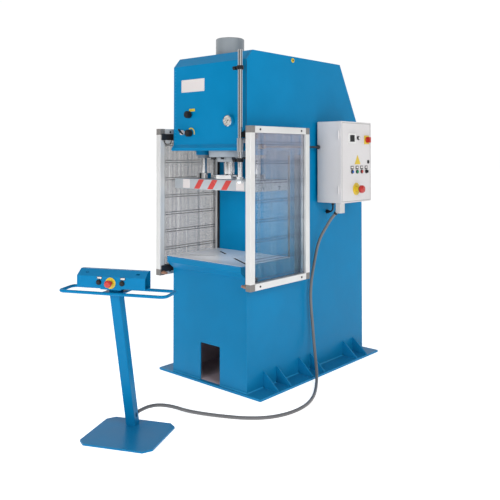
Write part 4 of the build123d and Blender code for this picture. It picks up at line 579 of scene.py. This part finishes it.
def joined_to(verts):
    """The given vertices and all that edges join to them."""
    joined = set(verts)
    spread = list(verts)
    while spread:
        for edge in spread.pop().link_edges:
            for vert in edge.verts:
                if vert not in joined:
                    joined.add(vert)
                    spread.append(vert)
    return list(joined)


def thicken(mesh, faces, way):
    """Extrudes faces by a vector and returns the new vertices."""
    top = points_of(bmesh.ops.extrude_face_region(mesh, geom=faces)["geom"])
    bmesh.ops.translate(mesh, vec=way, verts=top)
    return top


def film(mesh, corners, way):
    """Flat piece over the given corners, made thick by the vector."""
    face = mesh.faces.new([mesh.verts.new(corner) for corner in corners])
    thicken(mesh, [face], way)


def plate(mesh, place, width, height, thick, edge=0.0):
    """Thin rectangular plate, its corners rounded by edge: width along local X, height along Y."""
    verts = bmesh.ops.create_grid(mesh, x_segments=1, y_segments=1, size=0.5)["verts"]
    bmesh.ops.scale(mesh, vec=(width, height, 1.0), verts=verts)
    verts += thicken(mesh, faces_at(verts), (0.0, 0.0, thick))
    if edge:
        sides = {side for vert in verts for side in vert.link_edges
                 if abs(side.verts[0].co.z - side.verts[1].co.z) > thick / 2}
        before = set(mesh.verts) - set(verts)
        bmesh.ops.bevel(mesh, geom=list(sides), offset=edge, segments=4, profile=0.5, affect="EDGES", material=-1)
        verts = [vert for vert in mesh.verts if vert not in before]
    bmesh.ops.transform(mesh, matrix=place, verts=verts)


def turned(mesh, place, outline, segments=32):
    """Piece turned round local Z from (radius, height) points. An outline off the axis makes a closed ring."""
    verts = [mesh.verts.new((radius, 0.0, height)) for radius, height in outline]
    edges = [mesh.edges.new(pair) for pair in zip(verts, verts[1:])]
    if outline[0][0]:
        edges.append(mesh.edges.new((verts[-1], verts[0])))
    bmesh.ops.spin(mesh, geom=verts + edges, axis=(0, 0, 1), angle=2 * math.pi, steps=segments, use_merge=True)
    bmesh.ops.transform(mesh, matrix=place, verts=joined_to(verts))


def disc(radius, height):
    return [(0.0, 0.0), (radius, 0.0), (radius, height), (0.0, height)]


def domed(radius, shoulder, top, height):
    """Outline of a low dome: radius at the foot, top radius at the shoulder, then to the axis."""
    return [(0.0, 0.0), (radius, 0.0), (top, shoulder), (0.0, height)]


def chamfered(radius, shoulder, top, height, bore=0.0):
    """Outline of a disc, or of a ring round a bore, drawn in from the shoulder to the top radius."""
    return [(bore, 0.0), (radius, 0.0), (radius, shoulder), (top, height), (bore, height)]


def arc_sector(mesh, place, inner, outer, start, end, thick):
    """Flat part of a ring between two angles, in degrees from local X."""
    rim = [mesh.verts.new((radius, 0.0, 0.0)) for radius in (inner, outer)]
    edge = mesh.edges.new(rim)
    bmesh.ops.transform(mesh, matrix=Matrix.Rotation(math.radians(start), 4, "Z"), verts=rim)
    bmesh.ops.spin(
        mesh, geom=rim + [edge], axis=(0, 0, 1), angle=math.radians(end - start),
        steps=max(4, int(abs(end - start) / 7)), use_merge=False,
    )
    verts = joined_to(rim)
    verts += thicken(mesh, faces_at(verts), (0, 0, thick))
    bmesh.ops.transform(mesh, matrix=place, verts=verts)


def tapered_bar(mesh, start, end, first_radius, last_radius):
    """Round bar between two points with soft ends."""
    length = (end - start).length
    turned(
        mesh, pointing(start, end - start),
        [(0.0, 0.0), (first_radius * 0.7, 0.0), (first_radius, first_radius * 0.4),
         (last_radius, length - last_radius * 0.4), (last_radius * 0.7, length), (0.0, length)],
        segments=16,
    )


def rounded_triangle(mesh, place, width, height, corner, thick):
    """Flat triangle with rounded corners, point up."""
    before = set(mesh.verts)
    corners = ((-width / 2, -height / 2, 0), (width / 2, -height / 2, 0), (0, height / 2, 0))
    base = [mesh.verts.new(point) for point in corners]
    mesh.faces.new(base)
    bmesh.ops.bevel(mesh, geom=base, offset=corner, segments=5, profile=0.5, affect="VERTICES", material=-1)
    made = [vert for vert in mesh.verts if vert not in before]
    made += thicken(mesh, faces_at(made), (0, 0, thick))
    bmesh.ops.transform(mesh, matrix=place, verts=made)


def tube_ring(mesh, place, radius, segments):
    """Ring that a tube grows from."""
    verts = bmesh.ops.create_circle(mesh, segments=segments, radius=radius, matrix=place, cap_ends=False)["verts"]
    return verts + list({edge for vert in verts for edge in vert.link_edges})


def lengthen(mesh, ring, way):
    """Extrudes a ring by a vector and returns the far ring."""
    made = bmesh.ops.extrude_edge_only(mesh, edges=edges_of(ring))["geom"]
    far = points_of(made)
    bmesh.ops.translate(mesh, vec=way, verts=far)
    return far + [edge for edge in edges_of(made) if set(edge.verts) <= set(far)]


def bend_ring(mesh, ring, centre, axis, angle, steps):
    """Spins a ring round an axis and returns the far ring."""
    return bmesh.ops.spin(
        mesh, geom=ring, cent=centre, axis=axis, angle=angle, steps=steps, use_merge=False
    )["geom_last"]


def close_ends(mesh):
    """Fills the open ends of a tube."""
    bmesh.ops.holes_fill(mesh, edges=[edge for edge in mesh.edges if edge.is_boundary], sides=0)


# Conduit: control points of its route, as in the solids
CONDUIT_ROUTE = [
    (0.533, 0.082, 1.166), (0.502, 0.062, 1.124), (0.468, 0.042, 1.056), (0.434, 0.020, 0.986),
    (0.412, 0.008, 0.906), (0.402, -0.008, 0.812), (0.397, -0.036, 0.702), (0.396, -0.053, 0.580),
    (0.397, -0.045, 0.462), (0.400, -0.032, 0.350), (0.412, -0.036, 0.248), (0.438, -0.056, 0.158),
    (0.478, -0.096, 0.088), (0.530, -0.160, 0.042), (0.585, -0.240, 0.014), (0.640, -0.326, 0.0106),
    (0.691, -0.412, 0.0106), (0.733, -0.502, 0.0106), (0.763, -0.604, 0.0106), (0.769, -0.714, 0.0106),
    (0.748, -0.828, 0.0106), (0.692, -0.930, 0.0106), (0.600, -1.012, 0.0106), (0.490, -1.072, 0.0106),
    (0.374, -1.124, 0.0106), (0.268, -1.164, 0.013), (0.188, -1.206, 0.032), (0.148, -1.276, 0.052),
    (0.136, -1.346, 0.061), (0.142, -1.414, 0.062), (0.158, -1.472, 0.062),
]
CONDUIT_DIAMETER = 0.021


def route_curve(name, points):
    curve = bpy.data.curves.new(name, "CURVE")
    curve.dimensions = "3D"
    curve.resolution_u = 24
    spline = curve.splines.new("NURBS")
    spline.points.add(len(points) - 1)
    for control, point in zip(spline.points, points):
        control.co = (*point, 1.0)
    spline.order_u = 3
    spline.use_endpoint_u = True
    piece = bpy.data.objects.new(name, curve)
    bpy.context.scene.collection.objects.link(piece)
    return piece


conduit_line = route_curve("grey_conduit", CONDUIT_ROUTE)
conduit_line.data.bevel_depth = CONDUIT_DIAMETER / 2
conduit_line.data.bevel_resolution = 6
conduit_line.data.materials.append(conduit_grey)
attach(conduit_line, "frame")
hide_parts("conduit")


# Thicknesses of thin pieces
SHEET = 0.0008
LABEL = 0.0004
PRINT = 0.0002


def head_trim():
    """Bare plate with rivets, two yellow plates and the cap of the lifting hole, on the head."""
    x, z = -0.1595, 2.0875
    mesh = bmesh.new()
    plate(mesh, facing_front(x, PANEL_FRONT, z), width=0.237, height=0.090, thick=SHEET, edge=0.004)
    settle(mesh, "head_plate", "frame", label_white)
    mesh = bmesh.new()
    for across in (-0.110, 0.110):
        for up in (-0.037, 0.037):
            place = facing_front(x + across, PANEL_FRONT - SHEET, z + up)
            turned(mesh, place, domed(radius=0.0026, shoulder=0.0009, top=0.0022, height=0.0013), segments=12)
    settle(mesh, "head_plate_rivets", "frame", chrome_trim, smooth=40)
    mesh = bmesh.new()
    plate(mesh, facing_front(-0.167, PANEL_FRONT, 1.912), width=0.058, height=0.020, thick=SHEET, edge=0.003)
    knob_x, knob_z = FLOW_KNOB
    place = facing_front(knob_x, PANEL_FRONT, knob_z)
    arc_sector(mesh, place, inner=0.031, outer=0.040, start=-15, end=125, thick=SHEET)
    settle(mesh, "head_yellow_plates", "frame", signal_yellow)
    y, z, cap = -0.215, 2.272, 0.0040
    mesh = bmesh.new()
    turned(mesh, facing_right(HALF_WIDTH, y, z), chamfered(radius=0.0165, shoulder=0.0025, top=0.0150, height=cap))
    settle(mesh, "lifting_hole_cap", "frame", signal_yellow, smooth=40)
    mesh = bmesh.new()
    place = facing_right(HALF_WIDTH + cap, y, z)
    turned(mesh, place, domed(radius=0.007, shoulder=0.0015, top=0.006, height=0.0018), segments=24)
    settle(mesh, "lifting_cap_centre", "frame", black_plastic, smooth=40)


def head_seams():
    """Black strip of painted shade in the gap at the right edge of the head front, and a row of stitch welds at its
    left edge.
    """
    mesh = bmesh.new()
    place = facing_front(0.3545, PANEL_FRONT, (HEAD_LOW + HEAD_HIGH) / 2)
    plate(mesh, place, width=0.0035, height=HEAD_HIGH - HEAD_LOW, thick=0.0005)
    settle(mesh, "head_side_gap_shade", "frame", gap_shade_black)
    mesh = bmesh.new()
    count, margin = 23, 0.02
    for step in range(count):
        z = HEAD_LOW + margin + (HEAD_HIGH - HEAD_LOW - 2 * margin) * step / (count - 1)
        place = facing_front(-0.341, PANEL_FRONT, z)
        turned(mesh, place, domed(radius=0.0042, shoulder=0.0011, top=0.0034, height=0.0017), segments=14)
    # The welds' lighter blue is a painted highlight along the head's left edge
    settle(mesh, "head_stitch_welds", "frame", weld_highlight_blue, smooth=50)


def weld_bead(mesh, start, end, out, leg=0.006):
    """Fillet weld between two (x, y) points on the base plate; out points away from the wall."""
    start, end, out = (Vector((*pair, 0.0)) for pair in (start, end, out))
    foot = start + Vector((0, 0, BASE_TOP))
    film(mesh, (foot, foot + out * leg, foot + Vector((0, 0, leg))), end - start)


def base_welds():
    """Fillet welds along the foot of the front and the two sides, between the gussets."""
    mesh = bmesh.new()
    for left, right in ((-HALF_WIDTH, OPENING_LEFT), (OPENING_RIGHT, HALF_WIDTH)):
        weld_bead(mesh, (left, PANEL_FRONT), (right, PANEL_FRONT), (0, -1))
    gusset_sides = sorted(y + way * GUSSET_HALF for y in GUSSETS for way in (-1, 1))
    stops = [PANEL_FRONT, *gusset_sides, BODY_BACK]
    for side in (-1, 1):
        for near, far in zip(stops[::2], stops[1::2]):
            weld_bead(mesh, (side * HALF_WIDTH, near), (side * HALF_WIDTH, far), (side, 0))
    settle(mesh, "base_welds", "frame", weld_highlight_blue)


def cabinet_cable():
    """Short black cable from a gland under the cabinet to a gland on the side plate."""
    x, y, low, bend, radius = 0.420, 0.205, 1.190, 0.032, 0.006
    mesh = bmesh.new()
    gland = [
        (radius, 0.0), (0.015, 0.0), (0.015, 0.010), (0.012, 0.010), (0.012, 0.022), (0.009, 0.027), (radius, 0.027),
    ]
    turned(mesh, facing_down(x, y, CABINET_BOTTOM), gland, segments=24)
    turned(mesh, facing_right(HALF_WIDTH, y, low - bend), gland, segments=24)
    settle(mesh, "cabinet_cable_glands", "frame", black_plastic, smooth=40)
    mesh = bmesh.new()
    ring = tube_ring(mesh, Matrix.Translation((x, y, CABINET_BOTTOM)), radius, segments=16)
    ring = lengthen(mesh, ring, (0, 0, low - CABINET_BOTTOM))
    ring = bend_ring(mesh, ring, centre=(x - bend, y, low), axis=(0, 1, 0), angle=math.radians(90), steps=8)
    lengthen(mesh, ring, (HALF_WIDTH - (x - bend), 0, 0))
    close_ends(mesh)
    settle(mesh, "cabinet_cable", "frame", black_plastic, smooth=60)


def flow_lock():
    """Lock lever beside the flow knob: a pale hub and a black arm with two grips."""
    x, z, arm_z = -0.262, 1.752, 1.756
    mesh = bmesh.new()
    place = facing_front(x, PANEL_FRONT, z)
    turned(mesh, place, chamfered(radius=0.017, shoulder=0.017, top=0.014, height=0.020), segments=28)
    settle(mesh, "flow_lock_hub", "frame", label_white, smooth=40)
    mesh = bmesh.new()
    root = Vector((x, PANEL_FRONT - 0.026, arm_z))
    long_end = Vector((-0.221, PANEL_FRONT - 0.038, 1.738))
    short_end = Vector((-0.279, PANEL_FRONT - 0.028, 1.776))
    tapered_bar(mesh, root, long_end, first_radius=0.0065, last_radius=0.005)
    tapered_bar(mesh, root, short_end, first_radius=0.006, last_radius=0.0085)
    place = facing_front(x, PANEL_FRONT - 0.019, arm_z)
    turned(mesh, place, chamfered(radius=0.008, shoulder=0.010, top=0.006, height=0.012), segments=24)
    settle(mesh, "flow_lock_arm", "frame", black_plastic, smooth=40)


def gauge_dial():
    """White dial with a plain 270 degree scale and a red band, and the glass in the bezel."""
    x, z = GAUGE_CENTRE
    floor, glass = -0.736, -0.7425
    face = facing_front(x, floor - LABEL, z)
    mesh = bmesh.new()
    turned(mesh, facing_front(x, floor, z), disc(0.0345, LABEL), segments=48)
    settle(mesh, "gauge_dial", "frame", dial_white)
    mesh = bmesh.new()
    for step in range(28):
        turn = Matrix.Rotation(math.radians(225 - step * 10), 4, "Z")
        middle, length = (0.0265, 0.009) if step % 3 == 0 else (0.0285, 0.005)
        plate(mesh, face @ turn @ Matrix.Translation((middle, 0, 0)), width=length, height=0.0011, thick=PRINT)
    settle(mesh, "gauge_scale", "frame", black_plastic)
    mesh = bmesh.new()
    arc_sector(mesh, face, inner=0.0315, outer=0.0333, start=-45, end=15, thick=PRINT)
    settle(mesh, "gauge_red_band", "frame", signal_red)
    mesh = bmesh.new()
    turned(mesh, facing_front(x, glass, z), disc(0.0348, 0.0015), segments=48)
    settle(mesh, "gauge_glass", "frame", window_glass)


def platen_marks():
    """Red slanted stripes and two bare plates on the platen's front face."""
    low = PLATEN_BOTTOM + 0.003
    high = PLATEN_TOP - 0.003
    mesh = bmesh.new()
    foot, lean, head = 0.056, 0.050, 0.054
    for left in (-0.198, -0.064, 0.072):
        corners = ((left, low), (left + foot, low), (left + lean + head, high), (left + lean, high))
        film(mesh, [(x, PLATEN_FRONT, z) for x, z in corners], (0, -0.0003, 0))
    settle(mesh, "platen_stripes", "press_ram", signal_red)
    mesh = bmesh.new()
    for x in (-0.278, 0.253):
        plate(mesh, facing_front(x, PLATEN_FRONT, 1.381), width=0.072, height=0.064, thick=SHEET, edge=0.003)
    settle(mesh, "platen_plates", "press_ram", label_white)


def throat_trim():
    """Black strips on the throat edges of both side plates."""
    mesh = bmesh.new()
    width = HALF_WIDTH - INNER_HALF - 0.001
    height = THROAT_TOP - TABLE_TOP
    for side in (-1, 1):
        place = facing_front(side * (HALF_WIDTH + INNER_HALF) / 2, THROAT_BACK, TABLE_TOP + height / 2)
        plate(mesh, place, width, height - 0.002, thick=0.004, edge=0.002)
    settle(mesh, "throat_edge_black_strips", "frame", black_plastic)


def stop_cables():
    """Black cable loop of the switch at each upper guard stop, and its pale housing under the stop."""
    y, top, reach = -0.7225, 1.7, 0.036
    for side, word in ((-1, "left"), (1, "right")):
        x = side * 0.4135
        mesh = bmesh.new()
        ring = tube_ring(mesh, Matrix.Translation((x, y - reach, top)), radius=0.003, segments=12)
        bend_ring(mesh, ring, centre=(x, y, top), axis=(1, 0, 0), angle=math.pi, steps=20)
        close_ends(mesh)
        settle(mesh, f"{word}_stop_cable", "frame", black_plastic, smooth=60)
        mesh = bmesh.new()
        plate(mesh, facing_down(x, y, top), width=0.008, height=0.044, thick=0.022, edge=0.002)
        settle(mesh, f"{word}_stop_switch", "frame", outlet_paint)


def guard_trim(side, word):
    """Dark button-head screws at the ends of the guard rails, and the brown catch at the foot."""
    screw = [
        (0.0, 0.0), (0.0075, 0.0), (0.0070, 0.0022), (0.0048, 0.0036), (0.0028, 0.0036), (0.0028, 0.0012),
        (0.0, 0.0012),
    ]
    from_corner = PROFILE + 0.052
    mesh = bmesh.new()
    for face, outward in ((GUARD_OUTER, 1), (GUARD_INNER, -1)):
        for y in (GUARD_FRONT + from_corner, GUARD_BACK - from_corner):
            for z in (GUARD_BOTTOM + PROFILE / 2, GUARD_TOP - PROFILE / 2):
                place = facing_right(side * face, y, z)
                if side * outward < 0:
                    place = place @ Matrix.Rotation(math.pi, 4, "Y")
                turned(mesh, place, screw, segments=20)
    settle(mesh, f"{word}_guard_screws", f"{word}_guard", blackened_steel, smooth=40)
    mesh = bmesh.new()
    foot = Matrix.Translation((side * GUARD_INNER, GUARD_FRONT + PROFILE / 2, GUARD_BOTTOM + PROFILE / 2))
    place = foot @ Matrix.Rotation(math.radians(-90 * side), 4, "Y")
    body = 0.033
    turned(mesh, place, chamfered(radius=0.0125, shoulder=0.030, top=0.0105, height=body), segments=24)
    knob = [
        (0.0, body), (0.0075, body), (0.0075, 0.040), (0.0095, 0.042), (0.0095, 0.049), (0.0080, 0.051), (0.0, 0.051),
    ]
    turned(mesh, place, knob, segments=24)
    settle(mesh, f"{word}_guard_catch", f"{word}_guard", copper_brown, smooth=40)


def door_trim():
    """Meter window, label plates, a bare yellow plate, a lamp lens, a key face and the door's fold line in painted
    shade.
    """
    fitting, holder = 0.011, 0.0025
    mesh = bmesh.new()
    plate(mesh, facing_right(DOOR_FACE + 0.006, *METER), width=0.060, height=0.050, thick=0.0012, edge=0.002)
    settle(mesh, "meter_window", "door", screen_black)
    mesh = bmesh.new()
    for y in BUTTON_PLACES:
        place = facing_right(DOOR_FACE, y, BUTTON_ROW + 0.031)
        plate(mesh, place, width=0.036, height=0.025, thick=holder, edge=0.002)
    settle(mesh, "door_label_holders", "door", black_plastic)
    mesh = bmesh.new()
    for y in BUTTON_PLACES:
        place = facing_right(DOOR_FACE + holder, y, BUTTON_ROW + 0.032)
        plate(mesh, place, width=0.026, height=0.013, thick=LABEL, edge=0.001)
    settle(mesh, "door_labels", "door", label_white)
    mesh = bmesh.new()
    rounded_triangle(
        mesh, facing_right(DOOR_FACE, 0.273, 1.556), width=0.082, height=0.072, corner=0.006, thick=0.0006
    )
    settle(mesh, "door_yellow_plate", "door", signal_yellow)
    mesh = bmesh.new()
    lens = [(0.0, 0.0), (0.0105, 0.0), (0.0098, 0.0022), (0.006, 0.0038), (0.0, 0.0044)]
    turned(mesh, facing_right(DOOR_FACE + fitting, BUTTON_PLACES[0], BUTTON_ROW), lens, segments=28)
    settle(mesh, "door_lamp_lens", "door", lamp_blue, smooth=60)
    mesh = bmesh.new()
    turned(mesh, facing_right(DOOR_FACE + fitting, 0.281, 1.717), disc(0.0088, 0.0008), segments=28)
    settle(mesh, "key_barrel_face", "door", chrome_trim, smooth=40)
    # The fold line is a grey strip of painted shade in the door's crease
    inset, line = 0.011, 0.003
    deep = DOOR_BACK_EDGE - DOOR_FRONT_EDGE - 2 * inset
    tall = DOOR_HIGH - DOOR_LOW - 2 * inset
    mesh = bmesh.new()
    for y in (DOOR_BACK_EDGE - inset, DOOR_FRONT_EDGE + inset):
        plate(mesh, facing_right(DOOR_FACE, y, (DOOR_LOW + DOOR_HIGH) / 2), line, tall, LABEL)
    for z in (DOOR_LOW + inset, DOOR_HIGH - inset):
        plate(mesh, facing_right(DOOR_FACE, (DOOR_FRONT_EDGE + DOOR_BACK_EDGE) / 2, z), deep + line, line, LABEL)
    settle(mesh, "door_fold_painted_shade", "door", fold_shade_grey)


def console_trim():
    """Yellow ring, button rings and their bare labels on the two-hand console."""
    mesh = bmesh.new()
    ring = chamfered(radius=0.031, shoulder=0.0015, top=0.029, height=0.0022, bore=0.0125)
    turned(mesh, stand_front(0.0, CONSOLE_FRONT, 0.886), ring, segments=40)
    settle(mesh, "console_yellow_ring", "frame", signal_yellow, smooth=40)
    label_x, label_z, holder = 0.004, 0.9125, 0.0014
    ring = chamfered(radius=0.015, shoulder=0.0055, top=0.0138, height=0.007, bore=0.0116)
    mesh = bmesh.new()
    for x in (-CONSOLE_BUTTON, CONSOLE_BUTTON):
        turned(mesh, stand_front(x, CONSOLE_FRONT, 0.888), ring)
        place = stand_front(x + label_x, CONSOLE_FRONT, label_z)
        plate(mesh, place, width=0.030, height=0.014, thick=holder, edge=0.0015)
    settle(mesh, "console_button_rings", "frame", black_plastic, smooth=40)
    mesh = bmesh.new()
    for x in (-CONSOLE_BUTTON, CONSOLE_BUTTON):
        place = stand_front(x + label_x, CONSOLE_FRONT - holder, label_z)
        plate(mesh, place, width=0.025, height=0.009, thick=LABEL, edge=0.001)
    settle(mesh, "console_labels", "frame", label_white)


def conduit_ends():
    """Black gland nuts where the conduit enters the outlet box and the post."""
    nut = [(0.0106, -0.014), (0.0125, -0.014), (0.0142, -0.010), (0.0148, -0.002), (0.0148, 0.002), (0.0106, 0.002)]
    for name, end, before in (
        ("cabinet_gland_nut", CONDUIT_ROUTE[0], CONDUIT_ROUTE[1]),
        ("post_gland_nut", CONDUIT_ROUTE[-1], CONDUIT_ROUTE[-2]),
    ):
        mesh = bmesh.new()
        turned(mesh, pointing(end, Vector(end) - Vector(before)), nut, segments=24)
        settle(mesh, name, "frame", black_plastic, smooth=40)


head_trim()
head_seams()
base_welds()
cabinet_cable()
flow_lock()
gauge_dial()
platen_marks()
throat_trim()
stop_cables()
guard_trim(-1, "left")
guard_trim(1, "right")
door_trim()
console_trim()
conduit_ends()


# Camera at the photograph's view
camera_data = bpy.data.cameras.new("photo_camera")
camera_data.sensor_width = 36.0
camera_data.lens = 47.85
camera_data.shift_y = -0.220
camera_data.clip_end = 500.0
camera = bpy.data.objects.new("photo_camera", camera_data)
bpy.context.scene.collection.objects.link(camera)
camera_place = (3.3013, -4.0006, 1.6007)
yaw = math.radians(41.518)
pitch = math.radians(1.1635)
camera.matrix_world = (
    Matrix.Translation(camera_place)
    @ Matrix.Rotation(yaw, 4, "Z")
    @ Matrix.Rotation(math.radians(90) + pitch, 4, "X")
)
bpy.context.scene.camera = camera


# Upright dark flags that bright metal reflects: heading and half width in degrees, shade
DARK_FLAGS = ((-112.0, 30.0, 0.05), (22.0, 32.0, 0.05))
FLAG_EDGE = 4
# Soft lights: name, place, aim, size, power
SOFTBOXES = (
    ("key_softbox", (5.0, -1.6, 3.0), (0.3, -0.2, 1.2), 3.0, 120.0),
    ("front_softbox", (0.8, -6.0, 2.2), (0.0, -0.6, 1.2), 3.0, 135.0),
    ("throat_fill", (0.0, -0.73, 1.14), (0.0, 0.0, 1.14), 0.34, 0.75),
    ("top_softbox", (0.0, -0.8, 6.0), (0.0, -0.4, 1.0), 4.0, 30.0),
)


def studio_floor():
    """Plain pale floor just below the press."""
    mesh = bmesh.new()
    bmesh.ops.create_grid(mesh, x_segments=1, y_segments=1, size=60.0)
    data = bpy.data.meshes.new("studio_floor")
    mesh.to_mesh(data)
    mesh.free()
    paint, _, surface = new_material("studio_floor_white")
    surface["Base Color"].default_value = (0.95, 0.95, 0.95, 1.0)
    surface["Roughness"].default_value = 0.9
    surface["Emission Color"].default_value = (1.0, 1.0, 1.0, 1.0)
    surface["Emission Strength"].default_value = 0.62
    data.materials.append(paint)
    floor = bpy.data.objects.new("studio_floor", data)
    floor.location = (0, 0, -0.0005)
    bpy.context.scene.collection.objects.link(floor)


def studio_world():
    """White surroundings, dimmer behind the camera and overhead, with the dark flags."""
    world = bpy.data.worlds.new("studio_world")
    world.use_nodes = True
    sky = world.node_tree
    way = axes_of(sky, coordinates(sky, "Generated"))
    strength = graded(
        sky, way["Y"], from_min=-0.95, from_max=-0.1, to_min=0.35, to_max=1.02, curve="SMOOTHSTEP"
    )
    overhead = graded(sky, way["Z"], from_min=0.25, from_max=0.9, to_min=1.0, to_max=0.55)
    level = calculate(sky, "MULTIPLY", strength, overhead)
    heading = calculate(sky, "ARCTAN2", way["Y"], way["X"])
    for centre, half_width, shade in DARK_FLAGS:
        away = calculate(sky, "ABSOLUTE", calculate(sky, "SUBTRACT", heading, math.radians(centre)))
        inner, outer = (math.radians(half_width + edge) for edge in (-FLAG_EDGE, FLAG_EDGE))
        level = calculate(sky, "MULTIPLY", level, graded(sky, away, inner, outer, to_min=shade))
    sky.links.new(level, sky.nodes["Background"].inputs["Strength"])
    sky.nodes["Background"].inputs["Color"].default_value = (1.0, 1.0, 1.0, 1.0)
    bpy.context.scene.world = world
    bpy.context.scene.view_settings.view_transform = "Standard"


def studio_lights():
    for name, place, aim, size, power in SOFTBOXES:
        light = bpy.data.lights.new(name, "AREA")
        light.shape = "SQUARE"
        light.size = size
        light.energy = power
        lamp = bpy.data.objects.new(name, light)
        lamp.location = place
        lamp.visible_glossy = False
        lamp.rotation_euler = (Vector(aim) - Vector(place)).to_track_quat("-Z", "Y").to_euler()
        bpy.context.scene.collection.objects.link(lamp)


studio_floor()
studio_world()
studio_lights()
